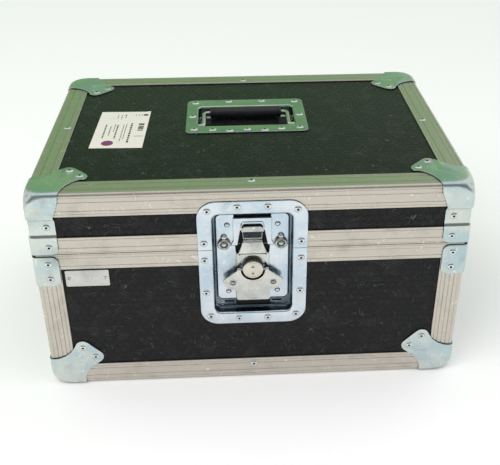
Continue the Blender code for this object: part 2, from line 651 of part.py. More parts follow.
# ---- hinges, plate and foam
def build_hinges(base, lid):
    """Rolled leaves on the back of the rims, with a loose pin through their knuckles."""
    segment = HINGE_WIDTH / HINGE_KNUCKLES
    inner = KNUCKLE_RADIUS - KNUCKLE_WALL
    for side, sx in (("left", -1), ("right", 1)):
        x0 = sx * HINGE_X - HINGE_WIDTH / 2
        for body, parent, up in (("base", base, -1), ("lid", lid, 1)):
            curl = arc((0, 0), KNUCKLE_RADIUS, 0, 300, 15) + arc((0, 0), inner, 300, 0, 12)
            outline = [(KNUCKLE_RADIUS, LEAF_HEIGHT)] + [(a, -b) for a, b in curl] + [(inner, LEAF_HEIGHT)]
            place = [(HINGE_Y - a, HINGE_Z + up * b) for a, b in outline]
            bm = prism(bmesh.new(), place, 0, x0, x0 + HINGE_WIDTH)
            leaf = add_object(f"hinge_{body}_leaf_{side}", bm, "zinc", parent, smooth=35)
            for i in range(HINGE_KNUCKLES):
                if (i % 2 == 0) == (body == "base"):
                    continue
                reach = KNUCKLE_RADIUS + 0.0006
                low, high = sorted((HINGE_Z - up * 0.01, HINGE_Z + up * reach))
                start = x0 + i * segment - (GAP if i else 0.005)
                end = x0 + (i + 1) * segment + (GAP if i < HINGE_KNUCKLES - 1 else 0.005)
                notch = block((start, HINGE_Y - 0.01, low), (end, HINGE_Y + 0.01, high))
                cut(leaf, add_object(f"notch_{body}_{side}_{i}", notch, None, parent))
        pin = cylinder(HINGE_PIN_RADIUS, 0, (HINGE_Y, HINGE_Z), x0, x0 + HINGE_WIDTH, 16)
        add_object(f"hinge_pin_{side}", pin, "zinc", base, smooth=35)


def build_name_plate(base):
    w, h = PLATE_SIZE
    x = -HALF.x + EDGING_LEG + PLATE_INSET[0] + w / 2
    z = PARTING - RIM_BASE - PLATE_INSET[1] - h / 2
    back = FRONT + PANEL_FACE - GAP
    bm = block((x - w / 2, back - PLATE_THICKNESS, z - h / 2), (x + w / 2, back, z + h / 2))
    add_object("name_plate", bm, "nameplate", base)


def build_foam(base, lid):
    """Open foam trays that line the base and the lid."""
    wall_x = HALF.x - INNER_FACE - WALL - FOAM_CLEARANCE
    wall_y = HALF.y - INNER_FACE - WALL - FOAM_CLEARANCE
    lining = {"base_foam": (base, LOW + INNER_FACE + WALL + FOAM_CLEARANCE, PARTING - 0.003),
              "lid_foam": (lid, HIGH - PANEL_FACE - WELL_DEPTH - DISH_STEEL - FOAM_CLEARANCE, PARTING + 0.003)}
    for name, (parent, closed, mouth) in lining.items():
        inwards = 1 if mouth > closed else -1
        outer = block((-wall_x, -wall_y, min(closed, mouth)), (wall_x, wall_y, max(closed, mouth)))
        foam = add_object(name, outer, "foam", parent)
        low, high = sorted((closed + inwards * FOAM, mouth + inwards * 0.01))
        hollow = block((-wall_x + FOAM, -wall_y + FOAM, low), (wall_x - FOAM, wall_y - FOAM, high))
        cut(foam, add_object(f"{name}_hollow", hollow, None, parent))


def main():
    clear_scene()
    frame = add_pivot("case_frame", (0, 0, 0))
    frame.location.y = CENTRE_SHIFT
    lid = add_pivot("lid_hinge", (0, HINGE_Y, HINGE_Z), frame)
    twist = add_pivot("cam_twist", front_point(0, CAM_Z, 0), frame)
    wing_fold = add_pivot("wing_fold", front_point(0, CAM_Z, CROSS_PIN_DEPTH), twist)
    lift = add_pivot("hook_lift", front_point(0, CAM_Z, TRAY_DEPTH), frame)
    pivot_y = HANDLE_CENTRE_Y - WELL_HALF[1] + BAIL_PIVOT_INSET
    handle_fold = add_pivot("handle_fold", lid_point(0, pivot_y, BAIL_DEPTH), lid)
    build_panels(frame, lid)
    build_extrusions(frame, lid)
    build_corners(frame, lid)
    build_latch_dishes(frame, lid)
    build_keeper(lid)
    build_hook(lift)
    build_cam(twist)
    build_wing(wing_fold)
    build_handle(lid, handle_fold)
    build_hinges(frame, lid)
    build_name_plate(frame)
    build_foam(frame, lid)
    bpy.context.view_layer.update()


if __name__ == "__main__":
    main()
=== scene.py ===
"""Looks of a lidded plywood flight case: laminate panels in aluminium edging, with zinc corners.

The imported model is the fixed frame. Every visible part of it is finished here with its real
edges, fixings and surface, in metres and in the frame's own coordinates.
"""

import logging
import math
from dataclasses import dataclass, field
from enum import Enum
from typing import Callable, Iterable, Optional, Sequence, Union

import bmesh
import bpy
from mathutils import Matrix, Vector


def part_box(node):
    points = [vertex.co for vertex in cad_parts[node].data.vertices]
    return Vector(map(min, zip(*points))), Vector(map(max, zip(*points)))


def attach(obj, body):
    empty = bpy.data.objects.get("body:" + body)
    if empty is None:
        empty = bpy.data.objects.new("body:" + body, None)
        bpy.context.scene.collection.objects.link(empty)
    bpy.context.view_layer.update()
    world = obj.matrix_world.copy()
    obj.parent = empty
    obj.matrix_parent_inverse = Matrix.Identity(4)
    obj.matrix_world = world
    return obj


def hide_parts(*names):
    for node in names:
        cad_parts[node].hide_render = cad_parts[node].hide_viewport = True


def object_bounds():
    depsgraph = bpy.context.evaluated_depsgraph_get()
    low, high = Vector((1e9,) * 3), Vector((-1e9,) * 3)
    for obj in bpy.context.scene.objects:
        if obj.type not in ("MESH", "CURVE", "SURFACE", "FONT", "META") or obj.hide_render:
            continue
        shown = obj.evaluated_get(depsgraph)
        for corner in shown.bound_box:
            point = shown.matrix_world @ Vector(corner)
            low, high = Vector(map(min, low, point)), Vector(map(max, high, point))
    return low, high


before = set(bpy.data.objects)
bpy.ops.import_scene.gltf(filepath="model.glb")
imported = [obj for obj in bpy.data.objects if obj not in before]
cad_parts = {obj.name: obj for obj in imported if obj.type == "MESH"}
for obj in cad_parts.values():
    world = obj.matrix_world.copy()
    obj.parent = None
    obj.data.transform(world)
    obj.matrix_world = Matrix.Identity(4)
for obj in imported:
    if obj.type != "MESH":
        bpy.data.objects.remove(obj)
CAD_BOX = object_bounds()

LOG = logging.getLogger("flight_case")
MM = 0.001
MERGE = 2e-6
CUT_TOLERANCE = 1e-7
UP = Vector((0.0, 0.0, 1.0))
AHEAD = Vector((0.0, -1.0, 0.0))
Point = tuple[float, float]
Colour = tuple[float, float, float]
Mesh = bmesh.types.BMesh
Node = bpy.types.Node
Socket = bpy.types.NodeSocket
Value = Union[float, tuple, Socket]
Placer = Callable[[float, float, float], Vector]
Loop = tuple[list[Point], float]
Seat = tuple[Vector, Vector]
CornerFace = tuple[int, int, int, Vector]


class Side(Enum):
    """A wall of the case, by its outward direction."""

    FRONT = (0.0, -1.0)
    BACK = (0.0, 1.0)
    LEFT = (-1.0, 0.0)
    RIGHT = (1.0, 0.0)

    @property
    def along_x(self) -> bool:
        """True where the wall runs along X."""
        return self.value[0] == 0.0


class Corner(Enum):
    """A vertical corner of the case, by its signs in X and Y."""

    FRONT_LEFT = (-1, -1)
    FRONT_RIGHT = (1, -1)
    BACK_LEFT = (-1, 1)
    BACK_RIGHT = (1, 1)


@dataclass(frozen=True)
class CaseFrame:
    """Reference planes of the case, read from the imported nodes.

    Attributes:
        left, right, front, back: faces of the edging on the four walls.
        low, high: lower and upper faces of the edging.
        parting: height where the base meets the lid.
    """

    left: float
    right: float
    front: float
    back: float
    low: float
    high: float
    parting: float

    @classmethod
    def from_nodes(cls) -> "CaseFrame":
        """Read the planes from the frame's boxes."""
        front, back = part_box("base_bottom_edging_front"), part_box("base_bottom_edging_back")
        left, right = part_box("base_bottom_edging_left"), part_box("base_bottom_edging_right")
        lid_edge, lid_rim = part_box("lid_top_edging_front"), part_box("lid_rim_left")
        return cls(left[0].x, right[1].x, front[0].y, back[1].y, front[0].z, lid_edge[1].z, lid_rim[0].z)

    def wall_point(self, side: Side, along: float, height: float, depth: float) -> Vector:
        """Place a point on a wall.

        Args:
            side: the wall.
            along: place along the wall, in X or Y, from the middle of the case.
            height: place in Z.
            depth: distance inwards from the edging's face.

        Returns:
            The point in the frame.
        """
        if side.along_x:
            y = self.front + depth if side is Side.FRONT else self.back - depth
            return Vector((along, y, height))
        x = self.left + depth if side is Side.LEFT else self.right - depth
        return Vector((x, along + self.middle_y, height))

    @property
    def middle_y(self) -> float:
        """Middle of the case from front to back."""
        return (self.front + self.back) / 2

    def corner_point(self, corner: Corner, inwards: Vector, top: bool) -> Vector:
        """Place a point measured inwards from a box corner of the edging.

        Args:
            corner: the vertical corner.
            inwards: distances from the three outer faces.
            top: True for the lid's corner, False for the base's lower corner.

        Returns:
            The point in the frame.
        """
        sx, sy = corner.value
        x = self.left + inwards.x if sx < 0 else self.right - inwards.x
        y = self.front + inwards.y if sy < 0 else self.back - inwards.y
        return Vector((x, y, self.high - inwards.z if top else self.low + inwards.z))


# ---- materials
@dataclass
class Recipe:
    """A node tree being wired."""

    tree: bpy.types.NodeTree

    def add(self, kind: str, inputs: Optional[dict[Union[str, int], Value]] = None,
            **settings: object) -> Node:
        """Add a node.

        Args:
            kind: the node's Blender type.
            inputs: values or sockets for its inputs, by name or number.
            settings: the node's own properties.

        Returns:
            The node.
        """
        node = self.tree.nodes.new(kind)
        for name, value in settings.items():
            setattr(node, name, value)
        for name, value in (inputs or {}).items():
            if isinstance(value, Socket):
                self.tree.links.new(value, node.inputs[name])
            else:
                node.inputs[name].default_value = value
        return node

    def math(self, operation: str, a: Value, b: Value = 0.0, clamp: bool = False) -> Socket:
        """A maths node's result."""
        return self.add("ShaderNodeMath", {0: a, 1: b}, operation=operation, use_clamp=clamp).outputs[0]

    def times(self, a: Value, b: Value) -> Socket:
        """The product of two values."""
        return self.math("MULTIPLY", a, b)

    def vector(self, operation: str, a: Value, b: Value = (0.0, 0.0, 0.0)) -> Node:
        """A vector maths node."""
        return self.add("ShaderNodeVectorMath", {0: a, 1: b}, operation=operation)

    def span(self, value: Value, low: float, high: float, to_low: float = 0.0,
             to_high: float = 1.0) -> Socket:
        """A value carried smoothly from one range to another."""
        inputs = {"Value": value, "From Min": low, "From Max": high, "To Min": to_low, "To Max": to_high}
        return self.add("ShaderNodeMapRange", inputs, interpolation_type="SMOOTHSTEP").outputs["Result"]

    def mix(self, factor: Value, a: Value, b: Value, blend: str = "MIX") -> Socket:
        """Two colours mixed by a factor.

        Args:
            factor: how much of the second value.
            a: the first value.
            b: the second value.
            blend: how they are blended.

        Returns:
            The mixed value.
        """
        node = self.add("ShaderNodeMix", data_type="RGBA", blend_type=blend)
        for index, value in ((0, factor), (6, a), (7, b)):
            if isinstance(value, Socket):
                self.tree.links.new(value, node.inputs[index])
            else:
                node.inputs[index].default_value = value if index == 0 else (*value, 1.0)
        return node.outputs[2]

    def noise(self, place: Value, scale: float, detail: float = 3.0, rough: float = 0.5) -> Socket:
        """A noise texture's value."""
        inputs = {"Vector": place, "Scale": scale, "Detail": detail, "Roughness": rough}
        return self.add("ShaderNodeTexNoise", inputs).outputs["Fac"]


def shared_group(name: str, inputs: dict[str, Value], outputs: dict[str, str],
                 wire: Callable[[Recipe, Node], dict[str, Socket]]) -> bpy.types.NodeTree:
    """Build a node group once and return it.

    Args:
        name: the group's name.
        inputs: each input's name and default; a triple makes a vector and a number a value.
        outputs: each output's name and socket kind.
        wire: fills the group and returns its outputs by name.

    Returns:
        The node group.
    """
    tree = bpy.data.node_groups.get(name)
    if tree:
        return tree
    tree = bpy.data.node_groups.new(name, "ShaderNodeTree")
    for key, value in inputs.items():
        kind = "NodeSocketVector" if isinstance(value, tuple) else "NodeSocketFloat"
        socket = tree.interface.new_socket(name=key, in_out="INPUT", socket_type=kind)
        socket.default_value = value
    for key, kind in outputs.items():
        tree.interface.new_socket(name=key, in_out="OUTPUT", socket_type=f"NodeSocket{kind}")
    recipe = Recipe(tree)
    made = wire(recipe, recipe.add("NodeGroupInput"))
    out = recipe.add("NodeGroupOutput")
    for key, socket in made.items():
        tree.links.new(socket, out.inputs[key])
    return tree


def handling_wear() -> bpy.types.NodeTree:
    """Group of rubbed patches, short scratches and fine pits left by handling.

    Returns:
        The group.
    """

    def wire(r: Recipe, given: Node) -> dict[str, Socket]:
        """Wire the group and return its outputs by name.

        Args:
            r: the recipe that the nodes are added to.
            given: the group's own inputs.

        Returns:
            The group's outputs, by name.
        """
        place, amount = given.outputs["Vector"], given.outputs["Amount"]
        patches = r.span(r.noise(place, 38.0, 4.0, 0.6), 0.50, 0.72)
        waves = {"Vector": place, "Scale": 46.0, "Distortion": 34.0, "Detail": 2.0, "Detail Scale": 0.8}
        bands = r.add("ShaderNodeTexWave", waves, wave_type="BANDS", bands_direction="DIAGONAL")
        thin = r.span(bands.outputs["Fac"], 0.975, 1.0)
        gate = r.span(r.noise(place, 90.0, 2.0), 0.52, 0.62)
        pits = r.span(r.noise(place, 1300.0, 1.0), 0.66, 0.76)
        return {"Rub": r.times(patches, amount), "Scratch": r.times(r.times(thin, gate), amount),
                "Pit": r.times(pits, amount)}

    return shared_group("handling_wear", {"Vector": (0.0, 0.0, 0.0), "Amount": 1.0},
                        {"Rub": "Float", "Scratch": "Float", "Pit": "Float"}, wire)


def drawn_lines() -> bpy.types.NodeTree:
    """Group of fine die lines; Scale is coarse along the metal and fine across it.

    Returns:
        The group.
    """

    def wire(r: Recipe, given: Node) -> dict[str, Socket]:
        """Wire the group and return its outputs by name."""
        place = r.vector("MULTIPLY", given.outputs["Vector"], given.outputs["Scale"]).outputs[0]
        fine = r.noise(place, 1.0, 2.0, 0.6)
        broad = r.noise(r.vector("MULTIPLY", place, (0.22, 0.22, 0.22)).outputs[0], 1.0, 2.0)
        return {"Fine": fine, "Broad": broad}

    return shared_group("drawn_lines", {"Vector": (0.0, 0.0, 0.0), "Scale": (1.0, 1.0, 1.0)},
                        {"Fine": "Float", "Broad": "Float"}, wire)


def hexagon_cells() -> bpy.types.NodeTree:
    """Group of hexagon cells in the plane of U and V: each cell's border and its own tone.

    Returns:
        The group.
    """

    def wire(r: Recipe, given: Node) -> dict[str, Socket]:
        """Wire the group and return its outputs by name.

        Args:
            r: the recipe that the nodes are added to.
            given: the group's own inputs.

        Returns:
            The group's outputs, by name.
        """
        row = math.sqrt(3.0)
        scaled = r.vector("DIVIDE", given.outputs["Vector"], given.outputs["Pitch"]).outputs[0]
        shifted = r.vector("ADD", scaled, (200.0, 200.0 * row, 0.0)).outputs[0]
        flat = r.vector("MULTIPLY", shifted, (1.0, 1.0, 0.0)).outputs[0]
        cell, half = (1.0, row, 1.0), (0.5, row / 2, 0.0)
        first = r.vector("SUBTRACT", r.vector("MODULO", flat, cell).outputs[0], half).outputs[0]
        moved = r.vector("SUBTRACT", flat, half).outputs[0]
        second = r.vector("SUBTRACT", r.vector("MODULO", moved, cell).outputs[0], half).outputs[0]
        lengths = [r.vector("LENGTH", offset).outputs["Value"] for offset in (first, second)]
        nearer = r.math("LESS_THAN", *lengths)
        chosen = r.add("ShaderNodeMix", {0: nearer, 4: second, 5: first}, data_type="VECTOR").outputs[1]
        size = r.vector("ABSOLUTE", chosen).outputs[0]
        slanted = r.vector("DOT_PRODUCT", size, (0.5, row / 2, 0.0)).outputs["Value"]
        straight = r.add("ShaderNodeSeparateXYZ", {0: size}).outputs["X"]
        reach = r.math("MAXIMUM", slanted, straight)
        centre = r.vector("SUBTRACT", flat, chosen).outputs[0]
        key = r.vector("SNAP", centre, (0.25, 0.25, 0.25)).outputs[0]
        tone = r.add("ShaderNodeTexWhiteNoise", {"Vector": key}).outputs["Value"]
        return {"Border": r.span(reach, 0.43, 0.475), "Tone": tone}

    return shared_group("hexagon_cells", {"Vector": (0.0, 0.0, 0.0), "Pitch": (0.01, 0.01, 0.01)},
                        {"Border": "Float", "Tone": "Float"}, wire)


def crevice_dirt() -> bpy.types.NodeTree:
    """Group of painted shade where surfaces meet, from ambient occlusion broken up by noise.

    Returns:
        The group.
    """

    def wire(r: Recipe, given: Node) -> dict[str, Socket]:
        """Wire the group and return its outputs by name."""
        reach = {"Distance": given.outputs["Reach"]}
        shade = r.add("ShaderNodeAmbientOcclusion", reach, samples=8).outputs["AO"]
        uneven = r.noise(given.outputs["Vector"], 210.0, 3.0)
        near = r.span(shade, 0.80, 0.30)
        return {"Dirt": r.times(near, r.span(uneven, 0.2, 0.6, 0.75, 1.0))}

    return shared_group("crevice_dirt", {"Vector": (0.0, 0.0, 0.0), "Reach": 0.005}, {"Dirt": "Float"}, wire)


class Grain(Enum):
    """Direction of the die lines on drawn metal: the scale of the lines along X, Y and Z."""

    ALONG_X = (3.0, 900.0, 900.0)
    ALONG_Y = (900.0, 3.0, 900.0)
    ALONG_Z = (900.0, 900.0, 3.0)


class Plane(Enum):
    """Plane of a flat pattern, as the turn that lays it in X and Y."""

    FLAT = (0.0, 0.0, 0.0)
    FRONT = (math.radians(-90.0), 0.0, 0.0)
    SIDE = (0.0, math.radians(90.0), 0.0)


def scaled(colour: Colour, share: float) -> Colour:
    """A colour with its parts scaled, none above one."""
    return tuple(min(part * share, 1.0) for part in colour)


@dataclass(frozen=True)
class Finish:
    """A finish with one Principled shader; each kind of finish wires its own nodes."""

    name: str
    colour: Colour
    roughness: float = 0.4
    metallic: float = 0.0

    def material(self) -> bpy.types.Material:
        """Build the finish's material once and return it.

        Returns:
            The material.
        """
        made = bpy.data.materials.get(self.name)
        if made:
            return made
        made = bpy.data.materials.new(self.name)
        made.use_nodes = True
        made.diffuse_color = (*self.colour, 1.0)
        tree = made.node_tree
        shader = tree.nodes["Principled BSDF"]
        shader.inputs["Base Color"].default_value = (*self.colour, 1.0)
        shader.inputs["Roughness"].default_value = self.roughness
        shader.inputs["Metallic"].default_value = self.metallic
        recipe = Recipe(tree)
        place = recipe.add("ShaderNodeTexCoord").outputs["Object"]
        self.wire(recipe, shader, place)
        return made

    def wire(self, r: Recipe, shader: Node, place: Socket) -> None:
        """Wire the pattern of the finish; the plain one has a slight mottling."""
        tone = r.noise(place, 120.0, 3.0)
        self.link(r, shader, "Base Color", r.mix(tone, scaled(self.colour, 0.85), self.colour))

    def link(self, r: Recipe, shader: Node, name: str, value: Socket) -> None:
        """Link a value to one of the shader's sockets."""
        r.tree.links.new(value, shader.inputs[name])

    def bump(self, r: Recipe, shader: Node, height: Socket, distance: float, strength: float = 1.0) -> None:
        """Drive the shader's normal by a height in metres."""
        node = r.add("ShaderNodeBump", {"Height": height, "Distance": distance, "Strength": strength})
        self.link(r, shader, "Normal", node.outputs["Normal"])

    def wear(self, r: Recipe, place: Socket, amount: float) -> Node:
        """Place the shared wear group."""
        node = r.add("ShaderNodeGroup", node_tree=handling_wear())
        r.tree.links.new(place, node.inputs["Vector"])
        node.inputs["Amount"].default_value = amount
        return node

    def dirt(self, r: Recipe, place: Socket, reach: float) -> Socket:
        """Place the shared crevice group and return its mask of painted shade."""
        node = r.add("ShaderNodeGroup", node_tree=crevice_dirt())
        r.tree.links.new(place, node.inputs["Vector"])
        node.inputs["Reach"].default_value = reach
        return node.outputs["Dirt"]


@dataclass(frozen=True)
class DrawnAluminium(Finish):
    """Anodised extrusion with fine die lines along its length."""

    grain: Grain = Grain.ALONG_X

    def wire(self, r: Recipe, shader: Node, place: Socket) -> None:
        """Wire die lines, smudges, small dents and painted shade where surfaces meet.

        Args:
            r: the recipe that the nodes are added to.
            shader: the shader whose sockets are fed.
            place: the point that the patterns are laid by.
        """
        lines = r.add("ShaderNodeGroup", node_tree=drawn_lines())
        r.tree.links.new(place, lines.inputs["Vector"])
        lines.inputs["Scale"].default_value = self.grain.value
        wear = self.wear(r, place, 1.0)
        dark = scaled(self.colour, 0.80)
        light = scaled(self.colour, 1.12)
        tone = r.math("MULTIPLY_ADD", lines.outputs["Fine"], 0.55)
        tone.node.inputs[2].default_value = 0.22
        base = r.mix(r.math("ADD", r.times(tone, 0.6), r.times(lines.outputs["Broad"], 0.4)), dark, light)
        base = r.mix(r.times(wear.outputs["Rub"], 0.30), base, scaled(self.colour, 0.72))
        base = r.mix(r.times(wear.outputs["Scratch"], 0.7), base, (0.92, 0.91, 0.89))
        # Painted shade: darker where surfaces meet, from ambient occlusion.
        base = r.mix(r.times(self.dirt(r, place, 0.0022), 0.75), base, scaled(self.colour, 0.16))
        self.link(r, shader, "Base Color", base)
        drawn = r.span(lines.outputs["Broad"], 0.3, 0.7, self.roughness - 0.05, self.roughness + 0.06)
        rough = r.math("ADD", drawn, r.times(wear.outputs["Rub"], 0.10))
        self.link(r, shader, "Roughness", rough)
        height = r.math("SUBTRACT", lines.outputs["Fine"], wear.outputs["Scratch"])
        self.bump(r, shader, height, 0.00004, 0.6)


@dataclass(frozen=True)
class PlatedSteel(Finish):
    """Bright plated steel with a passivated tint, cloudy patches, handling marks and painted shade where
    surfaces meet.
    """

    tint: Colour = (0.60, 0.70, 0.78)
    cloud: float = 34.0
    worn: float = 1.0
    # Reach of the painted shade where surfaces meet, in metres.
    crevice: float = 0.006

    def wire(self, r: Recipe, shader: Node, place: Socket) -> None:
        """Wire the clouded tint, the scratches, the painted shade where surfaces meet and the orange-peel
        bump.

        Args:
            r: the recipe that the nodes are added to.
            shader: the shader whose sockets are fed.
            place: the point that the patterns are laid by.
        """
        wear = self.wear(r, place, self.worn)
        clouds = r.span(r.noise(place, self.cloud, 4.0, 0.55), 0.36, 0.66)
        base = r.mix(clouds, self.colour, self.tint)
        base = r.mix(r.times(wear.outputs["Rub"], 0.35), base, scaled(self.colour, 0.62))
        base = r.mix(r.times(wear.outputs["Scratch"], 0.75), base, (0.90, 0.92, 0.93))
        base = r.mix(r.times(wear.outputs["Pit"], 0.22), base, (0.30, 0.32, 0.33))
        # Painted shade: darker where surfaces meet, from ambient occlusion.
        base = r.mix(r.times(self.dirt(r, place, self.crevice), 0.85), base, scaled(self.tint, 0.10))
        self.link(r, shader, "Base Color", base)
        rough = r.math("ADD", r.span(clouds, 0.0, 1.0, self.roughness - 0.05, self.roughness + 0.07),
                       r.times(wear.outputs["Rub"], 0.16))
        self.link(r, shader, "Roughness", rough)
        peel = r.noise(place, 240.0, 2.0)
        self.bump(r, shader, r.math("SUBTRACT", peel, wear.outputs["Scratch"]), 0.00007, 0.5)


@dataclass(frozen=True)
class HexagonLaminate(Finish):
    """Black phenolic laminate embossed with small hexagon cells."""

    plane: Plane = Plane.FLAT
    pitch: float = 0.0098

    def wire(self, r: Recipe, shader: Node, place: Socket) -> None:
        """Wire the cells, a film of dust and scuffs.

        Args:
            r: the recipe that the nodes are added to.
            shader: the shader whose sockets are fed.
            place: the point that the patterns are laid by.
        """
        shader.inputs["Specular IOR Level"].default_value = 0.2
        turned = r.add("ShaderNodeMapping", {"Vector": place, "Rotation": self.plane.value}).outputs[0]
        cells = r.add("ShaderNodeGroup", node_tree=hexagon_cells())
        r.tree.links.new(turned, cells.inputs["Vector"])
        cells.inputs["Pitch"].default_value = (self.pitch,) * 3
        wear = self.wear(r, place, 1.0)
        border, tone = cells.outputs["Border"], cells.outputs["Tone"]
        base = r.mix(tone, self.colour, scaled(self.colour, 1.35))
        base = r.mix(r.times(border, 0.8), base, scaled(self.colour, 0.30))
        base = r.mix(r.times(wear.outputs["Rub"], 0.25), base, (0.045, 0.045, 0.046))
        base = r.mix(r.times(wear.outputs["Scratch"], 0.35), base, (0.22, 0.22, 0.22))
        self.link(r, shader, "Base Color", base)
        rough = r.math("ADD", r.span(tone, 0.0, 1.0, self.roughness - 0.015, self.roughness + 0.03),
                       r.times(border, 0.18))
        self.link(r, shader, "Roughness", rough)
        pebble = r.noise(place, 900.0, 2.0)
        height = r.math("SUBTRACT", r.times(pebble, 0.35), border)
        self.bump(r, shader, height, 0.00022, 0.8)


@dataclass(frozen=True)
class MouldedRubber(Finish):
    """Black moulded rubber with a fine pebble."""

    def wire(self, r: Recipe, shader: Node, place: Socket) -> None:
        """Wire the pebble and a dusty bloom."""
        bloom = r.span(r.noise(place, 55.0, 4.0), 0.45, 0.75)
        self.link(r, shader, "Base Color", r.mix(r.times(bloom, 0.4), self.colour, scaled(self.colour, 2.2)))
        self.link(r, shader, "Roughness", r.span(bloom, 0.0, 1.0, self.roughness, self.roughness + 0.15))
        self.bump(r, shader, r.noise(place, 1500.0, 2.0), 0.0001, 0.6)


@dataclass(frozen=True)
class OpenCellFoam(Finish):
    """Charcoal packing foam with open cells."""

    def wire(self, r: Recipe, shader: Node, place: Socket) -> None:
        """Wire the cells' pits.

        Args:
            r: the recipe that the nodes are added to.
            shader: the shader whose sockets are fed.
            place: the point that the patterns are laid by.
        """
        lattice = {"Vector": place, "Scale": 620.0}
        cells = r.add("ShaderNodeTexVoronoi", lattice, feature="F1").outputs["Distance"]
        pit = r.span(cells, 0.25, 0.75)
        soil = r.noise(place, 14.0, 3.0)
        base = r.mix(pit, scaled(self.colour, 0.35), self.colour)
        self.link(r, shader, "Base Color", r.mix(r.times(soil, 0.35), base, scaled(self.colour, 1.7)))
        self.bump(r, shader, pit, 0.0005, 0.8)


@dataclass(frozen=True)
class PrintedPaper(Finish):
    """Paper label: fibres, faint creases and lifted, soiled edges."""

    def wire(self, r: Recipe, shader: Node, place: Socket) -> None:
        """Wire fibres, creases and soiling."""
        fibre = r.noise(place, 1400.0, 3.0)
        soil = r.span(r.noise(place, 42.0, 4.0, 0.6), 0.5, 0.8)
        base = r.mix(r.times(fibre, 0.10), self.colour, scaled(self.colour, 0.8))
        self.link(r, shader, "Base Color", r.mix(r.times(soil, 0.14), base, (0.42, 0.38, 0.30)))
        crease = r.noise(place, 30.0, 3.0)
        self.bump(r, shader, r.math("ADD", crease, r.times(fibre, 0.1)), 0.0004, 0.4)


ALUMINIUM = {grain: DrawnAluminium(f"drawn_aluminium_{grain.name.lower()}", (0.60, 0.555, 0.49),
                                   0.34, 1.0, grain) for grain in Grain}
CORNER_ZINC = PlatedSteel("corner_zinc", (0.60, 0.64, 0.61), 0.23, 1.0, (0.46, 0.57, 0.60), 30.0)
# A 9 mm reach of painted shade darkens the well walls and the floor round the wing.
DISH_ZINC = PlatedSteel("dish_zinc", (0.66, 0.71, 0.76), 0.17, 1.0, (0.50, 0.60, 0.70), 22.0, 0.8, 9.0 * MM)
# Grey plating with a green cast that is painted reflection of the green wall behind.
HANDLE_ZINC = PlatedSteel("handle_zinc", (0.44, 0.52, 0.46), 0.19, 1.0, (0.34, 0.44, 0.40), 24.0, 0.9)
# Darker copy of the dish zinc: painted shade on the dish's sunk walls.
MOAT_SHADE_ZINC = PlatedSteel("moat_painted_shade_zinc", (0.17, 0.21, 0.25), 0.20, 1.0, (0.09, 0.13, 0.16), 40.0, 0.8)
WEB_ZINC = PlatedSteel("keeper_web_zinc", (0.66, 0.70, 0.72), 0.17, 1.0, (0.50, 0.60, 0.68), 22.0,
                       0.8, 0.3 * MM)
LATCH_ZINC = PlatedSteel("latch_zinc", (0.62, 0.62, 0.58), 0.26, 1.0, (0.52, 0.54, 0.52), 60.0, 1.0)
RIVET_ZINC = PlatedSteel("rivet_zinc", (0.72, 0.73, 0.72), 0.20, 1.0, (0.58, 0.63, 0.66), 160.0, 0.7)
CAM_BRASS = PlatedSteel("cam_yellow_zinc", (0.60, 0.50, 0.30), 0.25, 1.0, (0.66, 0.60, 0.46), 110.0, 0.8)
CAM_FACE = PlatedSteel("cam_face_zinc", (0.66, 0.62, 0.52), 0.28, 1.0, (0.62, 0.62, 0.54), 90.0, 1.0)
# Near-black zinc: painted shade in the hook's throat.
THROAT_SHADE_ZINC = PlatedSteel("throat_painted_shade_zinc", (0.050, 0.060, 0.065), 0.30, 1.0, (0.030, 0.040, 0.045),
                          80.0, 0.5)
WELL_BLACK = MouldedRubber("well_mat_black", (0.012, 0.012, 0.013), 0.22)
PLATE_ALUMINIUM = DrawnAluminium("name_plate_aluminium", (0.62, 0.61, 0.60), 0.30, 1.0, Grain.ALONG_X)
LAMINATE = {plane: HexagonLaminate(f"hexagon_laminate_{plane.name.lower()}", (0.0062, 0.0062, 0.0068),
                                   0.30, 0.0, plane) for plane in Plane}
RUBBER = MouldedRubber("grip_rubber", (0.008, 0.008, 0.009), 0.38)
FOAM = OpenCellFoam("packing_foam", (0.035, 0.035, 0.038), 0.95)
PAPER = PrintedPaper("label_paper", (0.80, 0.77, 0.70), 0.60)
INK = PrintedPaper("label_ink", (0.035, 0.034, 0.036), 0.55)
PURPLE_INK = PrintedPaper("label_purple_dot", (0.20, 0.035, 0.16), 0.50)
# Black for painted shadow: in the rivets' hollows, on the sheet behind each dish floor and on the strip under
# the hook's cover.
SHADOW_BLACK = Finish("painted_shadow_black", (0.006, 0.006, 0.007), 0.7)


# ---- pieces
def make_piece(bm: Mesh, name: str, finish: Finish, body: str,
               nodes: Sequence[str] = (), smooth: float = 35.0) -> bpy.types.Object:
    """Turn a finished bmesh into a shown piece.

    Args:
        bm: the mesh, which is freed.
        name: the piece's name.
        finish: its finish.
        body: the body that it rides on.
        nodes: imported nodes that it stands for.
        smooth: edges sharper than this, in degrees, stay sharp.

    Returns:
        The piece.
    """
    mesh = bpy.data.meshes.new(name)
    bm.to_mesh(mesh)
    bm.free()
    mesh.shade_smooth()
    mesh.set_sharp_from_angle(angle=math.radians(smooth))
    mesh.materials.append(finish.material())
    piece = bpy.data.objects.new(name, mesh)
    bpy.context.scene.collection.objects.link(piece)
    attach(piece, body)
    if nodes:
        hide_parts(*nodes)
    LOG.info("%s: %d faces on %s", name, len(mesh.polygons), body)
    return piece


def node_mesh(*nodes: str) -> Mesh:
    """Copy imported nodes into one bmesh, with their loose triangles merged into clean faces.

    Args:
        nodes: names of the nodes.

    Returns:
        The bmesh.
    """
    bm = bmesh.new()
    for node in nodes:
        bm.from_mesh(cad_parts[node].data)
    bmesh.ops.remove_doubles(bm, verts=bm.verts, dist=MERGE)
    bmesh.ops.dissolve_limit(bm, angle_limit=math.radians(0.6), verts=bm.verts, edges=bm.edges,
                             use_dissolve_boundaries=False)
    return bm


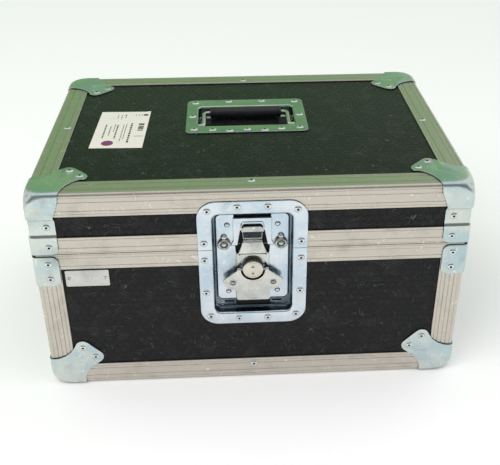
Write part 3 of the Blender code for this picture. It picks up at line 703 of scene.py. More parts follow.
def round_edges(bm: Mesh, edges: Sequence[bmesh.types.BMEdge], width: float, segments: int) -> None:
    """Round edges of a mesh by a width in millimetres."""
    bmesh.ops.bevel(bm, geom=edges, offset=width * MM, offset_type="OFFSET", segments=segments, profile=0.5,
                    affect="EDGES", material=-1, clamp_overlap=True)


def soften(bm: Mesh, width: float, angle: float = 32.0, segments: int = 2) -> None:
    """Break the sharp edges of a mesh with a small round.

    Args:
        bm: the mesh.
        width: width of the round, in millimetres.
        angle: edges that turn by more than this, in degrees, are rounded.
        segments: faces across the round.
    """
    limit = math.radians(angle)
    edges = [e for e in bm.edges if len(e.link_faces) == 2 and e.calc_face_angle(0.0) > limit]
    round_edges(bm, edges, width, segments)


def rounded_outline(half: Point, centre: Point, radius: float, steps: int = 8) -> list[Point]:
    """Outline of a rectangle with round corners, anticlockwise.

    Args:
        half: half sizes.
        centre: the middle.
        radius: corner radius.
        steps: faces round each corner.

    Returns:
        The outline's points.
    """
    points = []
    for quarter, (sx, sy) in enumerate(((1, -1), (1, 1), (-1, 1), (-1, -1))):
        for i in range(steps + 1):
            turn = math.radians(90 * (quarter - 1) + 90 * i / steps)
            points.append((centre[0] + sx * (half[0] - radius) + radius * math.cos(turn),
                           centre[1] + sy * (half[1] - radius) + radius * math.sin(turn)))
    return points


# ---- sheet, turned and drilled shapes; flat sizes are in millimetres
def sheet_from_loops(loops: Sequence[Loop], place: Placer) -> Mesh:
    """Join closed outlines into one open sheet with a filled floor.

    Args:
        loops: outlines with the same number of points and the depth of each, from the floor outwards.
        place: turns two flat places and a depth into a point.

    Returns:
        The sheet.
    """
    bm = bmesh.new()
    ring = [bm.verts.new(place(a, b, loops[0][1])) for a, b in loops[0][0]]
    edges = list(bm.faces.new(ring).edges)
    for outline, depth in loops[1:]:
        made = bmesh.ops.extrude_edge_only(bm, edges=edges)["geom"]
        fresh = {tuple(g.co): g for g in made if isinstance(g, bmesh.types.BMVert)}
        ring = [fresh[tuple(vert.co)] for vert in ring]
        edges = [g for g in made if isinstance(g, bmesh.types.BMEdge) and all(v in ring for v in g.verts)]
        for vert, (a, b) in zip(ring, outline):
            vert.co = place(a, b, depth)
    bmesh.ops.recalc_face_normals(bm, faces=bm.faces)
    return bm


def face_towards(bm: Mesh, direction: Vector) -> None:
    """Turn a sheet's faces so that most of their area looks a given way."""
    bm.normal_update()
    if sum(f.normal.dot(direction) * f.calc_area() for f in bm.faces) < 0:
        bmesh.ops.reverse_faces(bm, faces=bm.faces[:])


def thicken(bm: Mesh, amount: float) -> None:
    """Give a sheet its thickness behind the face that it shows."""
    bmesh.ops.solidify(bm, geom=bm.faces[:], thickness=amount * MM)
    bmesh.ops.recalc_face_normals(bm, faces=bm.faces)


def keep_side(bm: Mesh, height: float, above: bool) -> None:
    """Cut a sheet level in two at a height in metres and keep one side."""
    bmesh.ops.bisect_plane(bm, geom=[*bm.verts, *bm.edges, *bm.faces], dist=CUT_TOLERANCE,
                           plane_co=(0, 0, height), plane_no=UP, clear_inner=above, clear_outer=not above)


def hold(source: Mesh, name: str) -> bpy.types.Object:
    """Put a bmesh, which is freed, into a passing object."""
    mesh = bpy.data.meshes.new(name)
    source.to_mesh(mesh)
    source.free()
    obj = bpy.data.objects.new(name, mesh)
    bpy.context.scene.collection.objects.link(obj)
    return obj


def bore(bm: Mesh, cutters: Sequence[Mesh]) -> Mesh:
    """Cut closed shapes out of a closed mesh.

    Args:
        bm: the mesh, which is freed.
        cutters: closed shapes, which are freed.

    Returns:
        The cut mesh.
    """
    body = hold(bm, "bore_body")
    tools = [hold(cutter, "bore_tool") for cutter in cutters]
    for tool in tools:
        cut = body.modifiers.new("bore", "BOOLEAN")
        cut.object, cut.operation, cut.solver = tool, "DIFFERENCE", "EXACT"
    bpy.context.view_layer.update()
    result = bmesh.new()
    result.from_object(body, bpy.context.evaluated_depsgraph_get())
    for obj in [body, *tools]:
        bpy.data.objects.remove(obj)
    return result


def aimed(centre: Vector, axis: Vector) -> Matrix:
    """The move that lays a Z axis shape along an axis through a point."""
    return Matrix.Translation(centre) @ axis.to_track_quat("Z", "Y").to_matrix().to_4x4()


def drill(centre: Vector, axis: Vector, radius: float, reach: float, sides: int = 28) -> Mesh:
    """Round bar, centred on a point.

    Args:
        centre: its middle.
        axis: its direction.
        radius: its radius.
        reach: its length.
        sides: its sides.

    Returns:
        The bar.
    """
    bm = bmesh.new()
    bmesh.ops.create_cone(bm, cap_ends=True, segments=sides, radius1=radius * MM, radius2=radius * MM,
                          depth=reach * MM, matrix=aimed(centre, axis))
    return bm


def slab(outline: Sequence[Point], depths: Point, place: Placer) -> Mesh:
    """Plate of an outline between two depths.

    Args:
        outline: the corners of the outline, in order.
        depths: its nearer and further depth.
        place: turns two flat places and a depth into a point.

    Returns:
        The closed slab.
    """
    bm = bmesh.new()
    verts = [bm.verts.new(place(a, b, depths[0])) for a, b in outline]
    made = bmesh.ops.extrude_face_region(bm, geom=[bm.faces.new(verts)])["geom"]
    shift = place(0.0, 0.0, depths[1]) - place(0.0, 0.0, depths[0])
    bmesh.ops.translate(bm, verts=[g for g in made if isinstance(g, bmesh.types.BMVert)], vec=shift)
    bmesh.ops.recalc_face_normals(bm, faces=bm.faces)
    return bm


def turned(profile: Sequence[Point], centre: Vector, axis: Vector, steps: int = 32) -> Mesh:
    """Spin a section of radius and height about an axis through a point.

    Args:
        profile: the section, from the axis outwards.
        centre: origin of the heights.
        axis: direction of the heights.
        steps: faces round.

    Returns:
        The turned mesh.
    """
    bm = bmesh.new()
    verts = [bm.verts.new((r * MM, 0.0, h * MM)) for r, h in profile]
    edges = [bm.edges.new(pair) for pair in zip(verts, verts[1:])]
    bmesh.ops.spin(bm, geom=verts + edges, cent=(0, 0, 0), axis=UP, angle=math.tau, steps=steps,
                   use_merge=True)
    bmesh.ops.remove_doubles(bm, verts=bm.verts, dist=MERGE)
    bmesh.ops.recalc_face_normals(bm, faces=bm.faces)
    bmesh.ops.transform(bm, matrix=aimed(centre, axis), verts=bm.verts)
    return bm


def quarter(steps: int) -> list[float]:
    """Angles of a quarter turn, in radians."""
    return [math.radians(90 * i / steps) for i in range(steps + 1)]


@dataclass
class PressedDish:
    """Section of a pressed dish: flange, rolled rim, wall, moat and raised floor.

    Attributes:
        flange_half, flange_centre, flange_radius: the flange's outline.
        well_half, well_centre, well_radius: the well's outline at the wall.
        depth: depth of the floor below the flange's face.
        roll, fillet: rounds at the mouth and at the foot of the wall.
        plateau: half sizes, centre, corner radius and rise of the raised floor.
        edge: round of the flange's edge.
        steps: faces round each corner.
    """

    flange_half: Point
    flange_centre: Point
    flange_radius: float
    well_half: Point
    well_centre: Point
    well_radius: float
    depth: float
    roll: float = 2.4
    fillet: float = 2.6
    plateau: Optional[tuple[Point, Point, float, float]] = None
    edge: float = 0.5
    steps: int = 10

    def outline(self, grow: float) -> list[Point]:
        """The well's outline, grown by an amount."""
        half = (self.well_half[0] + grow, self.well_half[1] + grow)
        return rounded_outline(half, self.well_centre, max(self.well_radius + grow, 1.0), self.steps)

    def loops(self) -> list[Loop]:
        """Outlines from the floor's middle to the flange's turned edge.

        Returns:
            Each outline with its depth below the flange's face.
        """
        made: list[Loop] = []
        if self.plateau:
            half, centre, radius, rise = self.plateau
            for shrink, drop in ((1.6, 0.0), (1.1, 0.10), (0.5, 0.50), (-0.1, 0.90), (-0.7, 1.0)):
                sizes = (half[0] - shrink, half[1] - shrink)
                ring = rounded_outline(sizes, centre, radius - shrink, self.steps)
                made.append((ring, self.depth - rise * (1 - drop)))
        for turn in quarter(4):
            ring = self.outline(-self.fillet * (1 - math.sin(turn)))
            made.append((ring, self.depth - self.fillet * (1 - math.cos(turn))))
        for turn in quarter(5):
            made.append((self.outline(self.roll * (1 - math.cos(turn))), self.roll * (1 - math.sin(turn))))
        for turn in quarter(3):
            half = tuple(size - self.edge * (1 - math.sin(turn)) for size in self.flange_half)
            ring = rounded_outline(half, self.flange_centre, self.flange_radius, self.steps)
            made.append((ring, self.edge * (1 - math.cos(turn))))
        return made


# ---- drawn edging and rims
@dataclass
class DrawnSection:
    """Section of drawn metal, in distances inwards from its two outer faces, and how it is drawn.

    Attributes:
        outline: the section's corners.
        setback: distance from the corner within which the end is cut square.
    """

    outline: list[Point]
    setback: float

    def draw(self, length: Point, stop: Callable[[float, float], Point], place: Placer) -> Mesh:
        """Draw the section along a length, with mitred ends.

        Args:
            length: where the two ends would meet the outer corner.
            stop: how far each point of the section stops short of the two ends.
            place: turns the two distances inwards and a place along the length into a point.

        Returns:
            The drawn piece.
        """
        bm = bmesh.new()
        bm.faces.new([bm.verts.new((u, v, 0.0)) for u, v in self.outline])
        for normal in ((1, 0, 0), (0, 1, 0)):
            bmesh.ops.bisect_plane(bm, geom=[*bm.verts, *bm.edges, *bm.faces], dist=CUT_TOLERANCE,
                                   plane_co=Vector(normal) * self.setback, plane_no=normal)
        made = bmesh.ops.extrude_face_region(bm, geom=bm.faces[:], use_keep_orig=True)["geom"]
        far = {g for g in made if isinstance(g, bmesh.types.BMVert)}
        for vert in bm.verts:
            u, v = vert.co.x, vert.co.y
            near_stop, far_stop = stop(u, v)
            vert.co = place(u, v, length[1] - far_stop if vert in far else length[0] + near_stop)
        bmesh.ops.dissolve_limit(bm, angle_limit=math.radians(0.4), verts=bm.verts, edges=bm.edges)
        bmesh.ops.recalc_face_normals(bm, faces=bm.faces)
        return bm


def grooved(stations: Sequence[Point], width: float = 0.5) -> list[Point]:
    """Face of a leg with fine grooves, as distance along the leg and depth.

    Args:
        stations: each groove's place along the leg and its depth.
        width: half width of a groove's mouth.

    Returns:
        The points of the face, in order along the leg.
    """
    points, foot = [], 0.45 * width
    for at, depth in stations:
        points += [(at - width, 0.0), (at - foot, depth), (at + foot, depth), (at + width, 0.0)]
    return points


def metres(points: Iterable[Point], rise: float = 0.0) -> list[Point]:
    """Points given in millimetres, with a height in metres added to the second place."""
    return [(u * MM, rise + v * MM) for u, v in points]


@dataclass
class Extrusions:
    """Double-angle edging round the case and the tongued rims at the parting line, in millimetres."""

    case: CaseFrame
    wall: float = 1.5
    leg: float = 29.0
    bend: float = 3.8
    inner_leg: float = 24.0
    gap: float = 0.3
    board: float = 9.0
    break_edge: float = 0.35
    edging_setback: float = 22.0
    rim_setback: float = 3.0
    edging_grooves: tuple[Point, ...] = ((5.2, 0.35), (10.8, 0.45), (21.6, 0.45), (25.6, 0.35))
    upright_grooves: tuple[Point, ...] = ((5.2, 0.30), (10.4, 0.45), (15.6, 0.40), (21.0, 0.45), (25.6, 0.35))
    lid_rim_grooves: tuple[Point, ...] = ((2.2, 0.35), (8.0, 0.45), (18.6, 0.40))
    base_rim_grooves: tuple[Point, ...] = ((2.0, 0.35), (5.6, 0.30), (16.0, 0.45))

    def build(self) -> None:
        """Draw every edging and rim of the case."""
        c = self.case
        edging, upright = (DrawnSection(self.edging_outline(grooves), self.edging_setback * MM)
                           for grooves in (self.edging_grooves, self.upright_grooves))
        for side in Side:
            name, grain = side.name.lower(), Grain.ALONG_X if side.along_x else Grain.ALONG_Y
            half = (c.right - c.left) / 2 if side.along_x else (c.back - c.front) / 2
            for node, body, up in (("base_bottom_edging", "base", 1), ("lid_top_edging", "lid", -1)):
                start = c.low if up > 0 else c.high
                stop = self.edging_stop if up > 0 else self.lid_stop
                bm = edging.draw((-half, half), lambda u, v: (stop(u, v),) * 2,
                                 lambda u, v, s: c.wall_point(side, s, start + up * v, u))
                self.finish(bm, f"{node}_{name}", ALUMINIUM[grain], body)
            for node, body in (("base_rim", "base"), ("lid_rim", "lid")):
                low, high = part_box(f"{node}_{name}")
                rim = DrawnSection(self.rim_outline(body == "base", low.z, high.z), self.rim_setback * MM)
                bm = rim.draw((-half, half), lambda u, v: (self.rim_stop(u),) * 2,
                              lambda u, v, s: c.wall_point(side, s, v, u))
                self.finish(bm, f"{node}_{name}", ALUMINIUM[grain], body)
        for corner in Corner:
            node = f"base_corner_edging_{corner.name.lower()}"
            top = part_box(node)[1].z
            bm = upright.draw((0.0, top - c.low), lambda u, v: (self.edging_stop(u, v), 0.0),
                              lambda u, v, s: c.corner_point(corner, Vector((u, v, s)), False))
            self.finish(bm, node, ALUMINIUM[Grain.ALONG_Z], "base")

    def finish(self, bm: Mesh, node: str, finish: Finish, body: str) -> None:
        """Clear the latch dish and make the piece.

        Args:
            bm: the drawn mesh.
            node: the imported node.
            finish: its finish.
            body: the body that it rides on.
        """
        if node in ("base_rim_front", "lid_rim_front"):
            low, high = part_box("latch_lower_dish")[0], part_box("latch_upper_dish")[1]
            middle = (low.z + high.z) / 2 / MM - 0.55
            well = rounded_outline((47.5, 69.75), (0.0, middle), 9.5, 5)
            tool = slab(well, (-10.0, 10.95),
                        lambda a, b, d: Vector((a * MM, self.case.front + d * MM, b * MM)))
            bm = bore(bm, [tool])
        make_piece(bm, f"{node}_drawn", finish, body, [node])

    def edging_stop(self, u: float, v: float) -> float:
        """Mitre of the lower and upright edging."""
        return max(u, v, self.edging_setback * MM) + self.gap * MM

    def lid_stop(self, u: float, _v: float) -> float:
        """Mitre of the lid's edging, cut by the wall distance alone."""
        return max(u, self.edging_setback * MM) + self.gap * MM

    def rim_stop(self, u: float) -> float:
        """Mitre of a rim."""
        return max(u, self.rim_setback * MM) + self.gap * MM

    def edging_outline(self, grooves: Sequence[Point]) -> list[Point]:
        """Double-angle section with grooved outer faces and a slot for the boards.

        Args:
            grooves: each groove's place along the leg and its depth.

        Returns:
            The section's corners, in metres.
        """
        wall, slot = self.wall, self.wall + 2 * self.gap + self.board
        leaf = slot + wall
        outer = [(self.leg, self.break_edge), (self.leg - self.break_edge, 0.0), *reversed(grooved(grooves))]
        bend = [(self.bend * (1 - math.sin(t)), self.bend * (1 - math.cos(t))) for t in quarter(6)]
        other = [(v, u) for u, v in reversed(outer)]
        inside = [(wall, self.leg), (wall, 2 * wall), (slot, leaf), (slot, self.inner_leg),
                  (leaf, self.inner_leg)]
        return metres([*outer, *bend, *other, *inside, (leaf, leaf), *[(v, u) for u, v in reversed(inside)]])

    def rim_outline(self, lower: bool, low: float, high: float) -> list[Point]:
        """Rim section in depth and height, with its tongue or groove at the parting line.

        Args:
            lower: True for the base's rim, which has the tongue.
            low: lowest height of the rim, in metres.
            high: its highest height.

        Returns:
            The section's corners, in metres.
        """
        wall, parting, way = self.wall, self.case.parting, -1 if lower else 1
        middle, slot = wall + self.gap + self.board / 2, wall + 2 * self.gap + self.board
        top, end = (-self.gap if lower else 0.0), ((low if lower else high) - parting) / MM
        floor = top + way * wall
        channel = [(slot, end), (slot, floor), (wall, floor), (wall, end)]
        if lower:
            tongue, grooves = (high - parting) / MM, self.base_rim_grooves
            key = [(middle - 1.5, top), (middle - 0.9, tongue), (middle + 0.9, tongue), (middle + 1.5, top)]
        else:
            roof, half, grooves = 5.9, 2.7, self.lid_rim_grooves
            key = [(middle - half, top), (middle - half, roof), (middle + half, roof), (middle + half, top)]
            over, half = roof + wall, 3.7
            channel[2:2] = [(middle + half, floor), (middle + half, over), (middle - half, over),
                            (middle - half, floor)]
        face = [(depth, top + way * at) for at, depth in reversed(grooved(grooves))]
        skin = [(self.break_edge, end), (0.0, end - way * self.break_edge), *face,
                (0.0, top + way * 0.5), (0.5, top)]
        return metres([*skin, *key, (slot + wall, top), (slot + wall, end), *channel], parting)


@dataclass
class Rivet:
    """Pop rivet, in millimetres: a domed head with the hollow of its mandrel, whose floor is painted black as
    shadow.
    """

    radius: float = 4.4
    height: float = 1.5
    hollow: float = 1.5
    sides: int = 14
    spread: float = 0.7

    def profile(self) -> list[Point]:
        """Section of the head, as radius and height, from the hollow's floor out to the rim."""
        r, h, pit = self.radius, self.height, self.hollow
        return [(0.0, 0.05 * h), (0.85 * pit, 0.05 * h), (pit, 0.92 * h), (1.35 * pit, h),
                (0.72 * r, 0.72 * h), (0.95 * r, 0.32 * h), (r, 0.0), (0.96 * r, -0.15 * h)]

    def template(self) -> bpy.types.Mesh:
        """Spin the head once, about Z.

        Returns:
            The mesh of one rivet.
        """
        bm = turned(self.profile(), Vector(), UP, self.sides)
        # The hollow's floor takes the second slot: painted shadow black.
        for face in bm.faces:
            face.material_index = int(face.calc_center_median().xy.length < 0.9 * self.hollow * MM)
        mesh = bpy.data.meshes.new("rivet_template")
        bm.to_mesh(mesh)
        bm.free()
        return mesh

    def set_in(self, name: str, places: Iterable[Seat], body: str) -> bpy.types.Object:
        """Set one rivet at each place.

        Args:
            name: the piece's name.
            places: each rivet's seat and outward direction.
            body: the body that they ride on.

        Returns:
            The piece that holds them.
        """
        template, bm = self.template(), bmesh.new()
        for number, (seat, outward) in enumerate(places):
            bm.verts.ensure_lookup_table()
            start = len(bm.verts)
            bm.from_mesh(template)
            bm.verts.ensure_lookup_table()
            turn = aimed(seat, outward) @ Matrix.Rotation(self.spread * number, 4, "Z")
            bmesh.ops.transform(bm, matrix=turn, verts=bm.verts[start:])
        bpy.data.meshes.remove(template)
        piece = make_piece(bm, name, RIVET_ZINC, body, smooth=50.0)
        # Second slot: painted shadow in the hollows.
        piece.data.materials.append(SHADOW_BLACK.material())
        return piece


# ---- edging, panels and corners
@dataclass
class Shell:
    """Laminate panels, pressed corners, hinges and foam."""

    case: CaseFrame
    edge_round: float = 0.35

    def build(self) -> None:
        """Dress every node of the shell."""
        self.dress_panels()
        self.dress_corners()
        self.dress_hinges()
        self.dress_foam()

    def dress_panels(self) -> None:
        """Break the panels' edges and lay the laminate on them."""
        for side in Side:
            plane = Plane.FRONT if side.along_x else Plane.SIDE
            for body in ("base", "lid"):
                self.panel(f"{body}_{side.name.lower()}_panel", plane, body)
        self.panel("base_floor_panel", Plane.FLAT, "base")
        self.panel("lid_top_panel", Plane.FLAT, "lid")

    def panel(self, node: str, plane: Plane, body: str) -> None:
        """Finish one panel."""
        bm = node_mesh(node)
        soften(bm, self.edge_round)
        make_piece(bm, f"{node}_board", LAMINATE[plane], body, [node], 10.0)

    def dress_corners(self) -> None:
        """Round the sheet edges of the caps and braces."""
        for corner in Corner:
            name = corner.name.lower()
            for node, body in ((f"base_corner_cap_{name}", "base"), (f"base_corner_brace_{name}", "base"),
                               (f"lid_corner_{name}", "lid")):
                bm = node_mesh(node)
                soften(bm, self.edge_round, 50.0)
                make_piece(bm, f"{node}_pressing", CORNER_ZINC, body, [node], 50.0)

    def dress_hinges(self) -> None:
        """Finish the hinge leaves and their pins."""
        for side in ("left", "right"):
            for node, body in ((f"hinge_base_leaf_{side}", "base"), (f"hinge_lid_leaf_{side}", "lid"),
                               (f"hinge_pin_{side}", "base")):
                bm = node_mesh(node)
                soften(bm, 0.2)
                make_piece(bm, f"{node}_plated", LATCH_ZINC, body, [node])

    def dress_foam(self) -> None:
        """Round the foam trays' edges."""
        for body in ("base", "lid"):
            bm = node_mesh(f"{body}_foam")
            soften(bm, 1.2, segments=3)
            make_piece(bm, f"{body}_foam_tray", FOAM, body, [f"{body}_foam"])


@dataclass
class Fixings:
    """Rivets that hold the corners and the edging."""

    case: CaseFrame
    cap_lobes: tuple[Point, ...] = ((41.0 * MM, 55.2 * MM), (55.2 * MM, 41.0 * MM))
    lid_lobes: tuple[Point, ...] = ((42.5 * MM, 56.0 * MM), (56.0 * MM, 42.5 * MM))
    strap_in: float = 20.7 * MM
    strap_drops: Point = (41.5 * MM, 67.0 * MM)
    brace_in: float = 16.7 * MM
    brace_drops: Point = (12.0 * MM, 32.5 * MM)
    edging_in: float = 20.8 * MM
    proud: float = 1.8 * MM
    rivet: Rivet = field(default_factory=Rivet)

    def build(self) -> None:
        """Set the rivets of each corner and of the edging."""
        for corner in Corner:
            name = corner.name.lower()
            self.rivet.set_in(f"base_corner_rivets_{name}", self.base_corner(corner), "base")
            self.rivet.set_in(f"lid_corner_rivets_{name}", self.lid_corner(corner), "lid")
        self.rivet.set_in("base_edging_rivets", self.edging(False), "base")
        self.rivet.set_in("lid_edging_rivets", self.edging(True), "lid")

    def faces(self, corner: Corner, top: bool) -> list[CornerFace]:
        """The three faces at a box corner: depth axis, its two other axes, and the outward direction."""
        sx, sy = corner.value
        return [(2, 0, 1, Vector((0, 0, 1 if top else -1))), (0, 1, 2, Vector((sx, 0, 0))),
                (1, 0, 2, Vector((0, sy, 0)))]

    def seat(self, corner: Corner, top: bool, face: CornerFace, a: float, b: float, depth: float) -> Seat:
        """A rivet's seat on a face at a box corner.

        Args:
            corner: the vertical corner.
            top: True at the lid's corner.
            face: one of the corner's faces.
            a: distance from the corner along the face's first axis.
            b: distance along its second axis.
            depth: depth of the seat below the edging's face.

        Returns:
            The seat and the outward direction.
        """
        inwards = Vector((0, 0, 0))
        inwards[face[0]], inwards[face[1]], inwards[face[2]] = depth, a, b
        return self.case.corner_point(corner, inwards, top), face[3]

    def base_corner(self, corner: Corner) -> list[Seat]:
        """Seats on the lower cap's lobes and on the brace under the parting line.

        Args:
            corner: the corner of the case.

        Returns:
            The rivets' seats.
        """
        faces = self.faces(corner, False)
        places = [self.seat(corner, False, face, a, b, 0.0) for face in faces for a, b in self.cap_lobes]
        height = self.case.parting - self.case.low
        for face in faces[1:]:
            places += [self.seat(corner, False, face, self.brace_in, height - drop, -self.proud)
                       for drop in self.brace_drops]
        return places

    def lid_corner(self, corner: Corner) -> list[Seat]:
        """Seats on the lid cap's lobes and down its two straps."""
        faces = self.faces(corner, True)
        places = [self.seat(corner, True, faces[0], a, b, 0.0) for a, b in self.lid_lobes]
        for face in faces[1:]:
            for drop, depth in zip(self.strap_drops, (0.0, -self.proud)):
                places.append(self.seat(corner, True, face, self.strap_in, drop, depth))
        return places

    def edging(self, lid: bool) -> list[Seat]:
        """Seats along the edging, one in the middle of each leg.

        Args:
            lid: True for the lid, False for the base.

        Returns:
            The rivets' seats.
        """
        c, places = self.case, []
        height = c.high if lid else c.low
        inwards = -1 if lid else 1
        for side in Side:
            outward = Vector((*side.value, 0.0))
            flat = c.wall_point(side, 0.0, height, self.edging_in)
            places.append((flat, Vector((0, 0, -inwards))))
            if not (lid and side is Side.FRONT):
                places.append((c.wall_point(side, 0.0, height + inwards * self.edging_in, 0.0), outward))
        return places


@dataclass
class Latch:
    """Recessed butterfly latch: two dish halves, keeper, hook, cam and folding wing.

    Flat places are X and the height above the parting line; depths run back from the flange's face.
    """

    case: CaseFrame
    steel: float = 1.2
    parting_gap: float = 0.15
    well_half_width: float = 46.0
    well_heights: Point = (-90.0, 46.5)
    plateau_half: Point = (42.6, 59.6)
    plateau_middle: float = -16.8
    plateau_rise: float = 1.5
    moat_width: float = 42.2
    moat_heights: Point = (-76.0, 42.4)
    moat_depth: float = 2.8
    punch: float = 4.0
    hole: float = 3.25
    hole_x: float = 29.0
    hole_heights: Point = (-64.6, 28.2)
    stud_x: float = 33.0
    stud_heights: Point = (3.2, 12.2)
    throat: tuple[Point, ...] = ((19.5, -10.0), (20.3, -1.0), (17.4, 2.0), (12.4, 31.0))
    wing_hole: Point = (23.8, 17.4)
    wing_hole_radius: float = 3.3
    tab_bend: float = 27.5
    tab_reach: float = 14.4
    tab_lean: float = 1.1
    rivet_rows: tuple[Point, ...] = ((51.0, 52.0), (17.2, 56.8), (55.6, 10.0), (55.7, -13.0), (55.5, -59.4),
                                     (51.0, -94.0), (17.2, -98.0))

    def __post_init__(self) -> None:
        """Read the flange's face, the tray's depth and the flange's reach from the frame."""
        low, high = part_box("latch_lower_dish"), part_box("latch_upper_dish")
        self.face, self.floor = low[0].y, (low[1].y - low[0].y) / MM
        self.bottom = (low[0].z - self.case.parting) / MM
        self.top = (high[1].z - self.case.parting) / MM
        self.half = low[1].x / MM
        self.tray = self.floor - self.steel
        self.keeper_face = (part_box("latch_keeper")[0].y - self.face) / MM

    def place(self, x: float, z: float, depth: float) -> Vector:
        """A point by its X, its height above the parting line and its depth behind the flange's face."""
        return Vector((x * MM, self.face + depth * MM, self.case.parting + z * MM))

    def plate(self, outline: Sequence[Point], depths: Point) -> Mesh:
        """Plate of an outline between two depths."""
        return slab(outline, depths, self.place)

    def build(self) -> None:
        """Build every part of the latch."""
        self.build_dish("latch_lower_dish", "base", False)
        self.build_dish("latch_upper_dish", "lid", True)
        self.build_studs()
        self.build_keeper()
        self.build_hook()
        self.build_hook_lip()
        self.build_cam()
        self.build_wing()
        for name, body, rows in (("upper", "lid", [row for row in self.rivet_rows if row[1] > 0]),
                                 ("lower", "base", [row for row in self.rivet_rows if row[1] < 0])):
            places = [(self.place(sx * x, z, 0.0), AHEAD) for x, z in rows for sx in (-1, 1)]
            Rivet(4.5, 1.7).set_in(f"latch_{name}_rivets", places, body)

    def build_dish(self, name: str, body: str, above: bool) -> None:
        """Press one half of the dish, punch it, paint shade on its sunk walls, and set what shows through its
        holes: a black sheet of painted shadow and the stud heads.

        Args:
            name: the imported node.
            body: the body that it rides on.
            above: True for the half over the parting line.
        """
        low, high = self.well_heights
        middle, well_middle = (self.top + self.bottom) / 2, (high + low) / 2
        section = PressedDish((self.half, (self.top - self.bottom) / 2), (0.0, middle), 21.0,
                              (self.well_half_width, (high - low) / 2), (0.0, well_middle), 8.0, self.tray,
                              plateau=(self.plateau_half, (0.0, self.plateau_middle), 7.0, self.plateau_rise))
        bm = sheet_from_loops(section.loops(), self.place)
        face_towards(bm, AHEAD)
        gap = self.parting_gap
        keep_side(bm, self.case.parting + (3 * gap if above else -gap) * MM, above)
        thicken(bm, self.steel)
        bm = bore(bm, self.punches(above))
        # Sunk faces beyond the moat's bounds take the second slot, a darker zinc: painted shade on the dish's
        # walls.
        for face in bm.faces:
            centre = face.calc_center_median()
            sunk = centre.y - self.face > self.moat_depth * MM
            height = (centre.z - self.case.parting) / MM
            inside = self.moat_heights[0] < height < self.moat_heights[1]
            face.material_index = int(sunk and (abs(centre.x) > self.moat_width * MM or not inside))
        pressing = make_piece(bm, f"{name}_pressing", DISH_ZINC, body, [name], 40.0)
        pressing.data.materials.append(MOAT_SHADE_ZINC.material())
        # A black sheet behind the floor is painted shadow, seen through the holes, the throat and the slots.
        near, far = (4 * gap, 45.0) if above else (-91.0, -2 * gap)
        shadow_backing = rounded_outline((46.5, (far - near) / 2), (0.0, (near + far) / 2), 2.0, 4)
        behind = self.plate(shadow_backing, (self.floor + 0.05, self.floor + 0.35))
        make_piece(behind, f"{name}_backing", SHADOW_BLACK, body)
        dome = [(0.0, 1.5), (1.0, 1.4), (1.9, 1.1), (2.6, 0.5), (2.95, -0.4), (2.95, -1.6), (0.0, -1.6)]
        for sx, side in ((-1, "left"), (1, "right")):
            seat = self.place(sx * self.hole_x, self.hole_heights[above], self.tray - self.plateau_rise)
            make_piece(turned(dome, seat, AHEAD, 24), f"{name}_stud_head_{side}", RIVET_ZINC, body,
                       smooth=50.0)

    def punches(self, above: bool) -> list[Mesh]:
        """Cutters for the holes, the throat and the slots of one half of the dish.

        Args:
            above: True for the upper dish.

        Returns:
            The cutters.
        """
        through = (self.tray - self.punch, self.tray + self.punch)
        height = self.hole_heights[above]
        cutters = [drill(self.place(sx * self.hole_x, height, self.tray), -AHEAD, self.hole, 12.0)
                   for sx in (-1, 1)]
        cutters.append(self.plate([*self.throat, *[(-x, z) for x, z in reversed(self.throat)]], through))
        if above:
            cutters.append(self.plate(rounded_outline((21.5, 2.9), (0.0, 40.4), 0.8, 3), through))
            return cutters
        slots = [((6.0, 1.3), (sx * 28.5, -80.4), 1.0) for sx in (-1, 1)]
        for half, centre, radius in [*slots, ((20.4, 11.3), (0.0, -75.3), 2.0)]:
            cutters.append(self.plate(rounded_outline(half, centre, radius, 4), through))
        return cutters

    def build_studs(self) -> None:
        """Guide studs on the upper dish, each a ball in a rolled ring, with a pin above."""
        bm = bmesh.new()
        ring = [(0.0, 4.6), (1.6, 4.3), (2.9, 3.4), (3.5, 2.2), (4.0, 2.5), (4.6, 4.0), (5.4, 4.7),
                (6.4, 4.5), (7.1, 3.5), (7.4, 1.8), (7.3, 0.0)]
        pin = [(0.0, 3.6), (1.5, 3.4), (2.9, 2.6), (3.6, 1.3), (3.8, 0.0)]
        for sx in (-1, 1):
            for profile, height in zip((ring, pin), self.stud_heights):
                seat = self.place(sx * self.stud_x, height, self.tray - self.plateau_rise)
                mesh = bpy.data.meshes.new("stud")
                part = turned(profile, seat, AHEAD, 28)
                part.to_mesh(mesh)
                part.free()
                bm.from_mesh(mesh)
                bpy.data.meshes.remove(mesh)
        bmesh.ops.recalc_face_normals(bm, faces=bm.faces)
        make_piece(bm, "latch_guide_studs", LATCH_ZINC, "lid", smooth=45.0)

    def build_keeper(self) -> None:
        """Soften the keeper plate and lay its web behind the hook."""
        bm = node_mesh("latch_keeper")
        soften(bm, 0.5, segments=3)
        make_piece(bm, "latch_keeper_plate", DISH_ZINC, "lid", ["latch_keeper"])
        web = rounded_outline((15.0, 7.0), (0.0, 26.5), 1.0, 3)
        make_piece(self.plate(web, (10.25, 10.55)), "latch_keeper_web", WEB_ZINC, "lid")

